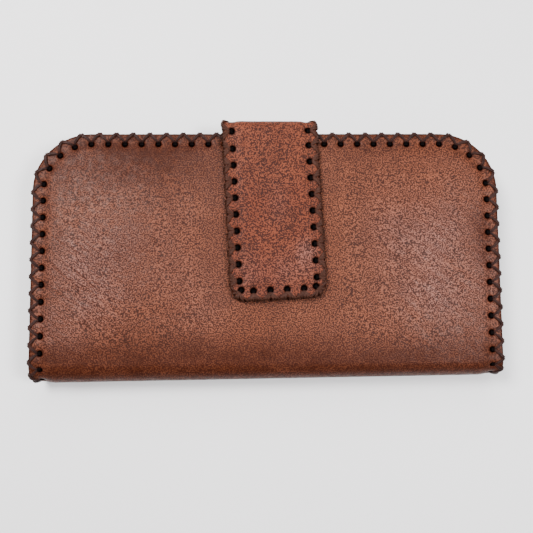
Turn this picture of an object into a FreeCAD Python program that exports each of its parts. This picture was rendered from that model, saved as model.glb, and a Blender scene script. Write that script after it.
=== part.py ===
import FreeCAD, Part
import math
import os
import Sketcher
from FreeCAD import Vector

# Hand-laced folding phone wallet, in millimetres.  +X runs along the fold, +Y from the fold to the
# opening edge and +Z from the back cover to the front cover.  The wallet lies on its back at z = 0,
# closed, with its strap over the opening edge and snapped to the front.

doc = FreeCAD.newDocument("phone_wallet")

# ---------------------------------------------------------------- driving dimensions

DIMENSIONS = [
    ("case_width", 186.4, "cover leather, side edge to side edge"),
    ("case_height", 99.5, "outside of the fold to the opening edge"),
    ("corner_radius", 23.0, "rounded corners of both covers"),
    ("cover_leather", 1.8, "thickness of the outer leather"),
    ("lining_leather", 0.6, "thickness of the lining glued inside it"),
    ("border_width", 6.2, "skived border that the lacing lies in"),
    ("border_skive", 0.7, "depth of that border below the cover's face"),
    ("hole_diameter", 2.3, "punched lacing hole"),
    ("hole_inset", 4.3, "hole centre to the cover's edge"),
    ("hole_pitch", 6.6, "wanted distance between lacing holes"),
    ("lace_width", 1.2, "flat waxed lace"),
    ("lace_thickness", 0.5, "flat waxed lace"),
    ("pocket_space", 7.6, "inside depth of the phone pocket"),
    ("pocket_wall", 1.2, "gusset that stands round the phone pocket"),
    ("pocket_flange", 2.4, "foot of the gusset, glued to the lining"),
    ("pocket_foot", 0.8, "thickness of that foot"),
    ("pocket_front", 0.9, "leather that covers the phone pocket"),
    ("pocket_margin", 1.0, "lacing border to pocket foot"),
    ("mouth_setback", 8.0, "opening edge to the pockets' mouths"),
    ("thumb_radius", 13.0, "thumb notch in the pocket's mouth"),
    ("inner_gap", 0.3, "closed gap between the card side and the phone pocket"),
    ("card_leather", 0.4, "thin leather of the card slots"),
    ("slot_space", 0.2, "empty depth of one slot"),
    ("slot_seam", 1.5, "glued seam round a slot"),
    ("card_column", 89.0, "outside width of the card column"),
    ("slot_step", 11.0, "each slot's mouth below the one behind it"),
    ("strap_width", 37.6, "closing strap"),
    ("strap_reach", 66.9, "opening edge to the strap's free end"),
    ("strap_inset", 3.6, "hole centre to the strap's edge"),
    ("strap_corner", 5.5, "rounded corners of the free end"),
    ("strap_leather", 1.4, "outer layer of the strap"),
    ("strap_lining", 1.0, "inner layer of the strap"),
    ("strap_skive", 0.5, "thinned edge of the inner layer"),
    ("strap_gap", 0.4, "closed gap between strap and front cover"),
    ("strap_overhang", 5.2, "strap's bend beyond the opening edge"),
    ("strap_bend", 4.2, "outside radius of the strap's two bends"),
    ("strap_offset", 1.3, "strap centre line off the case's middle"),
    ("strap_lean", 2.7, "degrees that the strap leans"),
    ("tail_length", 22.0, "strap end let in between cover and lining"),
    ("tail_leather", 1.0, "thickness that end is skived to"),
    ("snap_radius", 7.0, "magnetic snap, both halves"),
    ("snap_setback", 15.0, "snap centre to the strap's free end"),
    ("snap_case", 1.3, "height of the socket"),
    ("snap_proud", 0.2, "socket above the cover's face"),
    ("snap_wall", 0.3, "sheet metal of the socket"),
    ("snap_bore", 2.5, "radius of the socket's hole"),
    ("stud_radius", 2.0, "radius of the stud's boss"),
    ("stud_depth", 0.9, "boss height below the stud's plate"),
    ("stud_plate", 0.9, "stud's plate"),
    ("snap_clearance", 0.05, "closed gap between the two halves"),
    ("washer_radius", 5.5, "backing washer"),
    ("washer_thickness", 0.3, "backing washer"),
    ("prong_width", 2.0, "prong that holds a snap half in the leather"),
    ("prong_setoff", 3.6, "prong centre to snap centre"),
    ("fit_gap", 0.1, "room round pieces that are let in"),
]

sheet = doc.addObject("Spreadsheet::Sheet", "dims")
for row, (alias, number, note) in enumerate(DIMENSIONS, start=1):
    sheet.set(f"A{row}", str(number))
    sheet.setAlias(f"A{row}", alias)
    sheet.set(f"B{row}", note)
doc.recompute()


def value(expression):
    """The number that an expression over the sheet gives."""
    return float(sheet.evalExpression(expression))


# Derived sizes, as expressions over the sheet.
SHELL = "(dims.cover_leather + dims.lining_leather)"
SLOT = "(dims.slot_space + dims.card_leather)"
STACK = f"(4 * {SLOT})"
THICKNESS = f"(2 * {SHELL} + dims.pocket_space + dims.pocket_front + dims.inner_gap + {STACK})"
FOLD = f"({THICKNESS} / 2)"
FLAT = f"(dims.case_height - {FOLD})"
FOLD_LINE = f"({FOLD} - (dims.case_height + dims.strap_overhang + dims.lace_thickness) / 2)"
EDGE_LINE = f"({FOLD_LINE} + {FLAT})"
STRAP_SHELL = "(dims.strap_leather + dims.strap_lining)"
TAIL_FACE = "(dims.cover_leather - dims.tail_leather)"
STRAP_TOP = f"({THICKNESS} + dims.strap_gap + {STRAP_SHELL})"
BEND_LINE = "(dims.strap_overhang - dims.strap_bend)"
RISER = f"({STRAP_TOP} - {TAIL_FACE} - 2 * dims.strap_bend)"
FLAP = f"(dims.strap_reach + {BEND_LINE})"
POCKET_HALF = "(dims.case_width / 2 - dims.border_width - dims.pocket_margin)"
POCKET_CORNER = "(dims.corner_radius - dims.border_width - dims.pocket_margin)"
POCKET_END = f"({FLAT} - dims.mouth_setback)"
WALL_INSET = "(dims.pocket_flange + dims.pocket_wall)"
SNAP_LINE = f"({FLAP} - dims.snap_setback)"
OVER = 1               # a cutting block stands this far out of what it cuts

# Where each group of pieces stands: +y of a frame runs over its panel and +z goes inwards.
TURN = "rotation(vector({}; {}; {}); {})"
BACK_FRAME = f"placement(vector(0; {FOLD_LINE}; 0); {TURN.format(0, 0, 1, 0)})"
FRONT_FRAME = f"placement(vector(0; {FOLD_LINE}; {THICKNESS}); {TURN.format(0, 1, 0, 180)})"
SPINE_FRAME = (f"{BACK_FRAME} * placement(vector(0; -{FOLD} * sin(45); {FOLD} * (1 - cos(45))); "
               f"{TURN.format(1, 0, 0, -45)})")
STRAP_FRAME = (f"placement(vector(dims.strap_offset; {EDGE_LINE}; 0); "
               f"{TURN.format(0, 0, 1, 'dims.strap_lean')})")
TAIL_FRAME = (f"{STRAP_FRAME} * placement(vector(0; {BEND_LINE}; {TAIL_FACE}); "
              f"{TURN.format(0, 0, 1, 180)})")
RISER_FRAME = (f"{STRAP_FRAME} * placement(vector(0; dims.strap_overhang; "
               f"{TAIL_FACE} + dims.strap_bend); {TURN.format(1, 0, 0, 90)})")
FLAP_FRAME = (f"{STRAP_FRAME} * placement(vector(0; {BEND_LINE}; {STRAP_TOP}); "
              f"{TURN.format(1, 0, 0, 180)})")

subparts = []


def subpart(label, shape_object, frame=None):
    """Name a finished piece and stand it in its frame."""
    shape_object.Label = label
    if frame:
        shape_object.setExpression("Placement", frame)
    subparts.append(shape_object)
    return shape_object


# ---------------------------------------------------------------- sketches and panels

def outline(body, role, width, low, high, offset="0", corner=None):
    """A rectangle, centred across, from low to high on one of the body's origin planes.

    With a corner radius, its two far corners are rounded."""
    sketch = body.newObject("Sketcher::SketchObject", "outline")
    planes = {feature.Role: feature for feature in body.Origin.OriginFeatures}
    sketch.AttachmentSupport = (planes[role], [""])
    sketch.MapMode = "FlatFace"
    sketch.setExpression("AttachmentOffset.Base.z", offset)
    half = value(width) / 2
    near = value(low)
    far = value(high)
    radius = value(corner) if corner else 0
    shoulder = far - radius
    sketch.addGeometry(Part.LineSegment(Vector(-half, near), Vector(half, near)), False)
    sketch.addGeometry(Part.LineSegment(Vector(half, near), Vector(half, shoulder)), False)
    sketch.addGeometry(Part.LineSegment(Vector(half - radius, far), Vector(radius - half, far)), False)
    sketch.addGeometry(Part.LineSegment(Vector(-half, shoulder), Vector(-half, near)), False)
    if corner:
        for side, joints in ((1, (1, 2)), (-1, (2, 3))):
            circle = Part.Circle(Vector(side * (half - radius), shoulder), Vector(0, 0, 1), radius)
            start = 0 if side > 0 else math.pi / 2
            arc = sketch.addGeometry(Part.ArcOfCircle(circle, start, start + math.pi / 2), False)
            sketch.addConstraint(Sketcher.Constraint("Tangent", joints[0], 2, arc, 1))
            sketch.addConstraint(Sketcher.Constraint("Tangent", arc, 2, joints[1], 1))
        sketch.addConstraint(Sketcher.Constraint("Equal", 4, 5))
    else:
        sketch.addConstraint(Sketcher.Constraint("Coincident", 1, 2, 2, 1))
        sketch.addConstraint(Sketcher.Constraint("Coincident", 2, 2, 3, 1))
        sketch.addConstraint(Sketcher.Constraint("Horizontal", 2))
    sketch.addConstraint(Sketcher.Constraint("Coincident", 0, 2, 1, 1))
    sketch.addConstraint(Sketcher.Constraint("Coincident", 3, 2, 0, 1))
    sketch.addConstraint(Sketcher.Constraint("Vertical", 1))
    sketch.addConstraint(Sketcher.Constraint("Vertical", 3))
    sketch.addConstraint(Sketcher.Constraint("Symmetric", 0, 1, 0, 2, -2))
    sizes = [("width", width, Sketcher.Constraint("DistanceX", 0, 1, 0, 2, 2 * half)),
             ("depth", f"({high}) - ({low})", Sketcher.Constraint("DistanceY", 0, 2, 2, 1, far - near))]
    if corner:
        sizes.append(("corner", corner, Sketcher.Constraint("Radius", 4, radius)))
    if near > 0:
        sizes.append(("start", low, Sketcher.Constraint("DistanceY", -1, 1, 0, 1, near)))
    else:
        sketch.addConstraint(Sketcher.Constraint("PointOnObject", 0, 1, -1))
    for name, expression, constraint in sizes:
        index = sketch.addConstraint(constraint)
        sketch.renameConstraint(index, name)
        sketch.setExpression(f"Constraints.{name}", expression)
    return sketch


def pad(body, width, length, low, high, corner=None, start="0"):
    """A flat layer from low to high, from start to length, with its far corners rounded."""
    layer = body.newObject("PartDesign::Pad", "layer")
    layer.Profile = outline(body, "XY_Plane", width, start, length, low, corner)
    layer.setExpression("Length", f"({high}) - ({low})")
    body.Tip = layer
    doc.recompute()


def bend(body, width, radius, low, high, angle, far=None):
    """The same layer, carried round a fold whose outside has this radius."""
    sketch = outline(body, "XZ_Plane", width, low, high, f"-({far})" if far else "0")
    axis = sketch.addGeometry(Part.LineSegment(Vector(-1, value(radius)), Vector(1, value(radius))), True)
    sketch.addConstraint(Sketcher.Constraint("Horizontal", axis))
    sketch.addConstraint(Sketcher.Constraint("DistanceX", axis, 1, axis, 2, 2))
    sketch.addConstraint(Sketcher.Constraint("DistanceX", -1, 1, axis, 2, 1))
    rise = sketch.addConstraint(Sketcher.Constraint("DistanceY", -1, 1, axis, 1, value(radius)))
    sketch.renameConstraint(rise, "fold_axis")
    sketch.setExpression("Constraints.fold_axis", radius)
    turn = body.newObject("PartDesign::Revolution", "turn")
    turn.Profile = sketch
    turn.ReferenceAxis = (sketch, ["Axis0"])
    turn.Angle = angle
    turn.Reversed = far is None
    body.Tip = turn
    doc.recompute()


def panel(name, width, length, radius, rim, field, border="0", corner=None, far_bend=False):
    """A flat panel that runs into its half of a fold; the rim may be thinner than the field."""
    body = doc.addObject("PartDesign::Body", name)
    layers = [(width, length, rim, corner)]
    if field != rim:
        inner_corner = f"{corner} - {border}" if corner and value(f"{corner} - {border}") > 0 else None
        inner_length = f"{length} - {border}" if corner else length
        layers.append((f"{width} - 2 * {border}", inner_length, field, inner_corner))
    for across, along, (low, high), rounding in layers:
        pad(body, across, along, low, high, rounding)
    for across, along, (low, high), rounding in layers:
        bend(body, across, radius, low, high, 45)
        if far_bend:
            bend(body, across, radius, low, high, 45, along)
    return body


def plate(name, width, start, end, low, high, corner):
    """A flat sheet with its far corners rounded."""
    body = doc.addObject("PartDesign::Body", name)
    pad(body, width, end, low, high, corner, start)
    return body


def block(name, width, low_y, high_y, low_z, high_z, middle="0"):
    """A plain block, centred on x = middle."""
    box = doc.addObject("Part::Box", name)
    box.setExpression("Length", width)
    box.setExpression("Width", f"({high_y}) - ({low_y})")
    box.setExpression("Height", f"({high_z}) - ({low_z})")
    box.setExpression("Placement.Base.x", f"{middle} - ({width}) / 2")
    box.setExpression("Placement.Base.y", low_y)
    box.setExpression("Placement.Base.z", low_z)
    return box


def disc(name, radius, y, low_z, high_z, x="0"):
    """A plain round piece with its axis along z."""
    cylinder = doc.addObject("Part::Cylinder", name)
    cylinder.setExpression("Radius", radius)
    cylinder.setExpression("Height", f"({high_z}) - ({low_z})")
    cylinder.setExpression("Placement.Base.x", x)
    cylinder.setExpression("Placement.Base.y", y)
    cylinder.setExpression("Placement.Base.z", low_z)
    return cylinder


def moved(shape_object, frame):
    """Stand a tool in a frame, on top of its own place in that frame."""
    holder = doc.addObject("Part::Compound", "placed")
    holder.Links = [shape_object]
    holder.setExpression("Placement", frame)
    return holder


def fuse(name, *pieces):
    joined = doc.addObject("Part::MultiFuse", name)
    joined.Shapes = list(pieces)
    return joined


def cut(name, base, *tools):
    """base with the tools taken away."""
    result = doc.addObject("Part::Cut", name)
    result.Base = base
    result.Tool = tools[0] if len(tools) == 1 else fuse("tools", *tools)
    return result


def feature(name, shape):
    """A shape worked out by a formula, such as a row of lacing holes."""
    item = doc.addObject("Part::Feature", name)
    item.Shape = shape
    return item


# ---------------------------------------------------------------- lacing

WIDTH = value("dims.case_width")
INSET = value("dims.hole_inset")
STRAP_INSET = value("dims.strap_inset")
LACE = value("dims.lace_thickness")
LACE_HALF = value("dims.lace_width") / 2
FOLD_R = value(FOLD)
FLAT_Y = value(FLAT)
CORNER = value("dims.corner_radius")
SPREAD = 0.38          # where a strand meets the edge, as a share of the hole pitch
POST_HALF = 0.5        # lace inside a hole, half its thickness
POST_SHIFT = 0.3       # that lace lies against the edge side of the hole
CREASE = math.pi / 4   # each panel takes this much of a fold
SKIN = 0.05            # room between lace and leather
CORNER_DRAW = 0.6      # the strap's corner hole lies this far inside both of its rows
CORNER_STEP = 0.62     # end row to the first side hole, as a share of the hole pitch
RISER_SHARES = (0.16, 0.84)      # holes on the strap's upright part, as shares of its height
CORNER_ROOM = 0.1      # least room to the corner hole's row, as a share of the hole pitch
PUNCH_OVER = 2.0       # a punch stands this far out of the leather on both faces
NEAR = 0.01            # two rows closer than this are the same row


def seam_holes():
    """Holes of one cover from the middle of the fold to the middle of the opening edge.

    Gives (x, y, turn, edge heading): turn is the angle round the fold, 0 on the flat."""
    side = FLAT_Y - CORNER
    inner = CORNER - INSET
    fold_run = math.pi / 2 * FOLD_R
    arc_run = math.pi / 2 * inner
    total = fold_run + side + arc_run + WIDTH / 2 - CORNER
    count = round(total / value("dims.hole_pitch"))
    pitch = total / count
    holes = []
    for index in range(count):
        run = (index + 0.5) * pitch - fold_run
        if run < 0:
            holes.append((WIDTH / 2 - INSET, 0, -run / FOLD_R, 0))
        elif run < side:
            holes.append((WIDTH / 2 - INSET, run, 0, 0))
        elif run < side + arc_run:
            heading = (run - side) / inner
            holes.append((WIDTH / 2 - CORNER + inner * math.cos(heading),
                          side + inner * math.sin(heading), 0, heading))
        else:
            x = WIDTH / 2 - CORNER - (run - side - arc_run)
            holes.append((x, FLAT_Y - INSET, 0, math.pi / 2))
    return holes, pitch


def strap_holes(length):
    """Holes of the strap: along the free end, round its corners and up its sides."""
    half = value("dims.strap_width") / 2 - STRAP_INSET
    pitch = value("dims.hole_pitch")
    end = length - STRAP_INSET
    count = max(1, int(half / pitch - CORNER_ROOM))
    holes = [((index + 0.5) * pitch, end, 0, math.pi / 2) for index in range(count)]
    holes.append((half - CORNER_DRAW, end - CORNER_DRAW, 0, math.pi / 4))
    run = end - CORNER_STEP * pitch
    while run > 0:
        holes.append((half, run, 0, 0))
        run -= pitch
    bend_r = value("dims.strap_bend")
    while -run < CREASE * bend_r:
        holes.append((half, 0, -run / bend_r, 0))
        run -= pitch
    return holes


def stand(shape, hole, radius, side):
    """Place a shape made at a hole (x to the edge, z inwards) on its panel; side mirrors it."""
    x, y, turn, heading = hole
    placed = shape.copy()
    if side < 0:
        placed = placed.mirror(Vector(0, 0, 0), Vector(0, 1, 0))
    placed.rotate(Vector(0, 0, 0), Vector(0, 0, 1), math.degrees(heading))
    placed.translate(Vector(x, y, 0))
    placed.rotate(Vector(0, 0, radius), Vector(1, 0, 0), -math.degrees(turn))
    if side < 0:
        placed = placed.mirror(Vector(0, 0, 0), Vector(1, 0, 0))
    return placed


def on_both_sides(shape_of, holes, radius):
    """One shape for each hole, on the right and on the left."""
    return [stand(shape_of(hole), hole, radius, side) for hole in holes for side in (1, -1)]


def hole_tools(name, holes, radius, depth):
    """Punched holes, ready to be cut from leather."""
    height = depth + 2 * PUNCH_OVER
    punch = Part.makeCylinder(value("dims.hole_diameter") / 2, height, Vector(0, 0, -PUNCH_OVER))
    return feature(name, Part.makeCompound(on_both_sides(lambda hole: punch, holes, radius)))


def strand(reach, sideways, low, high):
    """A flat strand from the hole to the edge, sideways along the edge."""
    points = [Vector(-LACE_HALF, -LACE_HALF, low), Vector(-LACE_HALF, LACE_HALF, low),
              Vector(reach, sideways + LACE_HALF, low), Vector(reach, sideways - LACE_HALF, low)]
    face = Part.Face(Part.makePolygon(points + points[:1]))
    return face.extrude(Vector(0, 0, high - low))


def stitch(shifts, top, bottom, inset=INSET):
    """Lace of one hole: out over the edge at each shift and back on the other face, as one solid.

    top and bottom are the two leather faces, counted inwards."""
    reach = inset + SKIN + LACE
    post = Part.makeBox(2 * POST_HALF, 2 * POST_HALF, bottom - top + 2 * SKIN,
                        Vector(POST_SHIFT - POST_HALF, -POST_HALF, top - SKIN))
    pieces = []
    for shift in shifts:
        pieces.append(strand(reach, shift, top - LACE, top))
        pieces.append(strand(reach, shift, bottom + SKIN, bottom + SKIN + LACE))
        pieces.append(Part.makeBox(LACE, 2 * LACE_HALF, bottom - top + SKIN,
                                   Vector(reach - LACE, shift - LACE_HALF, top)))
    return post.multiFuse(pieces).removeSplitter()


def lacing(holes, pitch, radius, top, bottom, inset=INSET):
    """Crossed stitches on the flat and straight ones round a fold."""
    crossed = stitch((SPREAD * pitch, -SPREAD * pitch), top, bottom, inset)
    straight = stitch((0,), top, bottom, inset)
    room = SPREAD * pitch + LACE_HALF

    def stitch_at(hole):
        return straight if hole[2] or hole[1] < room else crossed

    return on_both_sides(stitch_at, holes, radius)


HOLES, PITCH = seam_holes()
COVER_HOLES = [hole for hole in HOLES if hole[2] < CREASE]
SPINE_HOLES = [(x, y, turn - CREASE, heading) for x, y, turn, heading in HOLES if turn >= CREASE]
SPINE_HOLES += [(x, y, 2 * CREASE - turn, heading) for x, y, turn, heading in SPINE_HOLES]
BORDER_FACE = value("dims.border_skive")
BORDER_BACK = value(SHELL)
STRAP_BACK = value(f"{STRAP_SHELL} - dims.strap_skive")
STRAP_R = value("dims.strap_bend")
FLAP_HOLES = strap_holes(value(FLAP))
RISER_HOLES = [(FLAP_HOLES[-1][0], value(RISER) * share, 0, 0) for share in RISER_SHARES]
UNDER_STRAP = value("dims.strap_width / 2 + dims.strap_offset") + SPREAD * PITCH + LACE_HALF
EDGE_ROW = FLAT_Y - INSET - NEAR
OPEN_HOLES = [hole for hole in COVER_HOLES if hole[1] < EDGE_ROW or hole[0] > UNDER_STRAP]
HIDDEN_HOLES = [hole for hole in COVER_HOLES if hole not in OPEN_HOLES]


def running_stitches(holes, top, bottom):
    """Lace that runs straight from hole to hole where the strap leaves the seam."""
    last = max(hole[0] for hole in holes)
    y = FLAT_Y - INSET
    outer = Part.makeBox(2 * last, 2 * LACE_HALF, LACE, Vector(-last, y - LACE_HALF, top - LACE))
    inner = outer.translated(Vector(0, 0, bottom - top + LACE + SKIN))
    posts = []
    for hole in holes:
        for side in (1, -1):
            corner = Vector(side * hole[0] - POST_HALF, y - POST_HALF, top - SKIN)
            posts.append(Part.makeBox(2 * POST_HALF, 2 * POST_HALF, bottom - top + 2 * SKIN, corner))
    return outer.multiFuse([inner] + posts).removeSplitter()


# ---------------------------------------------------------------- covers and linings

RIM = ("dims.border_skive", "dims.cover_leather")
FIELD = ("0", "dims.cover_leather")
LINING = ("dims.cover_leather", SHELL)

cover_punch = hole_tools("cover_holes", COVER_HOLES, FOLD_R, BORDER_BACK)
spine_punch = hole_tools("spine_holes", SPINE_HOLES, FOLD_R, BORDER_BACK)

tail_recess = moved(block("tail_recess", "dims.strap_width + 2 * dims.fit_gap",
                          "-dims.strap_bend", "dims.tail_length + dims.strap_overhang + dims.fit_gap",
                          "0", "dims.tail_leather"), TAIL_FRAME)
back_shell = panel("back_shell", "dims.case_width", FLAT, FOLD, RIM, FIELD,
                   "dims.border_width", "dims.corner_radius")
back_shell.setExpression("Placement", BACK_FRAME)
back_punch = moved(cover_punch, BACK_FRAME)
subpart("back_cover_leather", cut("back_cover", back_shell, back_punch, tail_recess))

back_lining = panel("back_lining_shell", "dims.case_width", FLAT, FOLD, LINING, LINING,
                    corner="dims.corner_radius")
subpart("back_lining", cut("back_lining_cut", back_lining, cover_punch), BACK_FRAME)


def spine_layer(name, label, layers):
    body = doc.addObject("PartDesign::Body", name)
    for width, (low, high) in layers:
        bend(body, width, FOLD, low, high, 90)
    return subpart(label, cut(f"{name}_cut", body, spine_punch), SPINE_FRAME)


spine_layer("spine_shell", "spine_leather",
            [("dims.case_width", RIM), ("dims.case_width - 2 * dims.border_width", FIELD)])
spine_layer("spine_lining_shell", "spine_lining", [("dims.case_width", LINING)])

# ---------------------------------------------------------------- magnetic snap

CASE_TOP = "(dims.strap_gap - dims.snap_proud)"
CASE_BOTTOM = f"({CASE_TOP} + dims.snap_case)"
UNDERSIDE = STRAP_SHELL
PLATE_FACE = f"({UNDERSIDE} + {CASE_TOP} - dims.snap_clearance)"
PLATE_BACK = f"({PLATE_FACE} - dims.stud_plate)"
COVER_BACK = f"({UNDERSIDE} + dims.strap_gap + dims.cover_leather)"


def prongs(name, low, high, room="0"):
    """Two flat prongs across the snap, or their slots when room is given."""
    pair = []
    for side in ("-1", "1"):
        pair.append(block(name, f"dims.snap_wall + 2 * {room}",
                          f"{SNAP_LINE} - dims.prong_width / 2 - {room}",
                          f"{SNAP_LINE} + dims.prong_width / 2 + {room}",
                          low, high, f"{side} * dims.prong_setoff"))
    return pair


def snap_disc(name, radius, low, high):
    return disc(name, radius, SNAP_LINE, low, high)


SOCKET_TOP = f"({UNDERSIDE} + {CASE_TOP})"
SOCKET_BOTTOM = f"({UNDERSIDE} + {CASE_BOTTOM})"
socket_room = snap_disc("socket_room", "dims.snap_radius + dims.fit_gap", SOCKET_TOP, SOCKET_BOTTOM)
washer_room = snap_disc("washer_room", "dims.washer_radius + dims.fit_gap",
                        f"{COVER_BACK} - dims.washer_thickness", COVER_BACK)
prong_room = prongs("prong_room", SOCKET_TOP, COVER_BACK, "dims.fit_gap")
front_snap_room = moved(fuse("front_snap_room", socket_room, washer_room, *prong_room), FLAP_FRAME)

front_shell = panel("front_shell", "dims.case_width", FLAT, FOLD, RIM, FIELD,
                    "dims.border_width", "dims.corner_radius")
front_shell.setExpression("Placement", FRONT_FRAME)
front_punch = moved(cover_punch, FRONT_FRAME)
subpart("front_cover_leather", cut("front_cover", front_shell, front_punch, front_snap_room))

front_lining = panel("front_lining_shell", "dims.case_width", FLAT, FOLD, LINING, LINING,
                     corner="dims.corner_radius")
subpart("front_lining", cut("front_lining_cut", front_lining, cover_punch), FRONT_FRAME)

socket_shell = snap_disc("socket_shell", "dims.snap_radius", SOCKET_TOP, SOCKET_BOTTOM)
socket_bore = snap_disc("socket_bore", "dims.snap_bore", SOCKET_TOP,
                        f"{SOCKET_BOTTOM} - dims.snap_wall / 2")
magnet_room = cut("magnet_room",
                  snap_disc("magnet_room_outside", "dims.snap_radius - dims.snap_wall",
                            f"{SOCKET_TOP} + dims.snap_wall", f"{SOCKET_BOTTOM} - dims.snap_wall / 2"),
                  snap_disc("magnet_room_inside", "dims.snap_bore + dims.snap_wall",
                            SOCKET_TOP, SOCKET_BOTTOM))
socket_prongs = prongs("socket_prong", f"{SOCKET_BOTTOM} - dims.snap_wall / 2", COVER_BACK)
subpart("snap_socket",
        cut("socket", fuse("socket_body", socket_shell, *socket_prongs), socket_bore, magnet_room),
        FLAP_FRAME)
magnet = cut("magnet",
             snap_disc("magnet_outside", "dims.snap_radius - dims.snap_wall - dims.fit_gap",
                       f"{SOCKET_TOP} + dims.snap_wall", f"{SOCKET_BOTTOM} - dims.snap_wall / 2"),
             snap_disc("magnet_inside", "dims.snap_bore + dims.snap_wall + dims.fit_gap",
                       SOCKET_TOP, SOCKET_BOTTOM))
subpart("snap_magnet", magnet, FLAP_FRAME)


def washer(name, label, low, high):
    plate = snap_disc(name, "dims.washer_radius", low, high)
    slots = prongs(f"{name}_slot", f"{low} - {OVER}", f"{high} + {OVER}", "dims.fit_gap / 2")
    return subpart(label, cut(f"{name}_cut", plate, *slots), FLAP_FRAME)


washer("socket_washer", "snap_socket_washer", f"{COVER_BACK} - dims.washer_thickness", COVER_BACK)

stud_plate = snap_disc("stud_plate", "dims.snap_radius", PLATE_BACK, PLATE_FACE)
stud_boss = snap_disc("stud_boss", "dims.stud_radius", PLATE_FACE, f"{PLATE_FACE} + dims.stud_depth")
STUD_WASHER_FACE = "dims.strap_leather - dims.washer_thickness"
stud_prongs = prongs("stud_prong", STUD_WASHER_FACE, PLATE_BACK)
subpart("snap_stud", fuse("stud", stud_plate, stud_boss, *stud_prongs), FLAP_FRAME)
washer("stud_washer", "snap_stud_washer", STUD_WASHER_FACE, "dims.strap_leather")

# ---------------------------------------------------------------- phone pocket on the back cover

foot = plate("pocket_foot", f"2 * {POCKET_HALF}", "dims.pocket_margin", POCKET_END,
             SHELL, f"{SHELL} + dims.pocket_foot", POCKET_CORNER)
wall = plate("pocket_wall", f"2 * ({POCKET_HALF} - dims.pocket_flange)",
             "dims.pocket_margin + dims.pocket_flange", POCKET_END,
             SHELL, f"{SHELL} + dims.pocket_space", f"({POCKET_CORNER} - dims.pocket_flange)")
phone_room = block("phone_room", f"2 * ({POCKET_HALF} - {WALL_INSET})",
                   f"dims.pocket_margin + {WALL_INSET}", f"{POCKET_END} + {OVER}",
                   f"{SHELL} - {OVER}", f"{SHELL} + dims.pocket_space + {OVER}")
subpart("phone_pocket_gusset", cut("gusset", fuse("gusset_body", foot, wall), phone_room), BACK_FRAME)

pocket_sheet = plate("pocket_sheet", f"2 * {POCKET_HALF}", "dims.pocket_margin", POCKET_END,
                     f"{SHELL} + dims.pocket_space",
                     f"{SHELL} + dims.pocket_space + dims.pocket_front", POCKET_CORNER)
thumb = disc("thumb", "dims.thumb_radius", POCKET_END, SHELL, f"{SHELL} + 2 * dims.pocket_space")
subpart("phone_pocket_front", cut("pocket_front", pocket_sheet, thumb), BACK_FRAME)

# ---------------------------------------------------------------- card side on the front cover


def slot_panel(name, label, width, middle, mouth, level, corner=None):
    """A slot: a thin sheet glued round three sides to the sheet behind it, open at its mouth."""
    low = f"({SHELL} + {level} * {SLOT})"
    extent = ("dims.pocket_margin", mouth, low, f"{low} + {SLOT}")
    whole = plate(name, width, *extent, corner) if corner else block(name, width, *extent, middle)
    room = block(f"{name}_room", f"({width}) - 2 * dims.slot_seam",
                 "dims.pocket_margin + dims.slot_seam", f"{mouth} + {OVER}",
                 low, f"{low} + dims.slot_space", middle)
    return subpart(label, cut(f"{name}_cut", whole, room), FRONT_FRAME)


slot_panel("note_sheet", "note_pocket_panel", f"2 * {POCKET_HALF}", "0", POCKET_END, 0, POCKET_CORNER)
CARD_MIDDLE = f"{POCKET_HALF} - dims.card_column / 2"
for level, place in enumerate(("upper", "middle", "lower"), start=1):
    slot_panel(f"card_{place}", f"card_slot_{place}", "dims.card_column", CARD_MIDDLE,
               f"{POCKET_END} - {level} * dims.slot_step", level)
slot_panel("slip_sheet", "slip_pocket_panel", f"2 * {POCKET_HALF} - dims.card_column - dims.inner_gap",
           "-(dims.card_column + dims.inner_gap) / 2", f"{POCKET_END} - dims.slot_step", 1)

# ---------------------------------------------------------------- strap

TAIL = ("0", "dims.tail_leather")
STRAP_OUTER = ("0", "dims.strap_leather")
STRAP_RIM = ("dims.strap_leather", f"({STRAP_SHELL} - dims.strap_skive)")
STRAP_FIELD = ("dims.strap_leather", STRAP_SHELL)

tail = panel("tail_shell", "dims.strap_width", f"(dims.tail_length + {BEND_LINE})", "dims.strap_bend",
             TAIL, TAIL)
subpart("strap_tail", cut("tail_cut", moved(tail, TAIL_FRAME), back_punch))

flap_punch = hole_tools("flap_holes", FLAP_HOLES, STRAP_R, value(STRAP_SHELL))
riser_punch = hole_tools("riser_holes", RISER_HOLES, STRAP_R, value(STRAP_SHELL))

flap_outer = panel("flap_outer_shell", "dims.strap_width", FLAP, "dims.strap_bend",
                   STRAP_OUTER, STRAP_OUTER, corner="dims.strap_corner")
stud_washer_room = snap_disc("stud_washer_room", "dims.washer_radius + dims.fit_gap",
                             STUD_WASHER_FACE, "dims.strap_leather")
subpart("strap_flap_leather", cut("flap_outer", flap_outer, flap_punch, stud_washer_room), FLAP_FRAME)

flap_inner = panel("flap_inner_shell", "dims.strap_width", FLAP, "dims.strap_bend",
                   STRAP_RIM, STRAP_FIELD, "dims.border_width", "dims.strap_corner")
stud_room = snap_disc("stud_room", "dims.snap_radius + dims.fit_gap", PLATE_BACK, STRAP_SHELL)
stud_prong_room = prongs("stud_prong_room", "0", STRAP_SHELL, "dims.fit_gap")
subpart("strap_flap_lining", cut("flap_inner", flap_inner, flap_punch, stud_room, *stud_prong_room),
        FLAP_FRAME)

riser_outer = panel("riser_outer_shell", "dims.strap_width", RISER, "dims.strap_bend",
                    STRAP_OUTER, STRAP_OUTER, far_bend=True)
subpart("strap_riser_leather", cut("riser_outer", riser_outer, riser_punch), RISER_FRAME)
riser_inner = panel("riser_inner_shell", "dims.strap_width", RISER, "dims.strap_bend",
                    STRAP_RIM, STRAP_FIELD, "dims.border_width", far_bend=True)
subpart("strap_riser_lining", cut("riser_inner", riser_inner, riser_punch), RISER_FRAME)

# ---------------------------------------------------------------- lacing pieces

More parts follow.
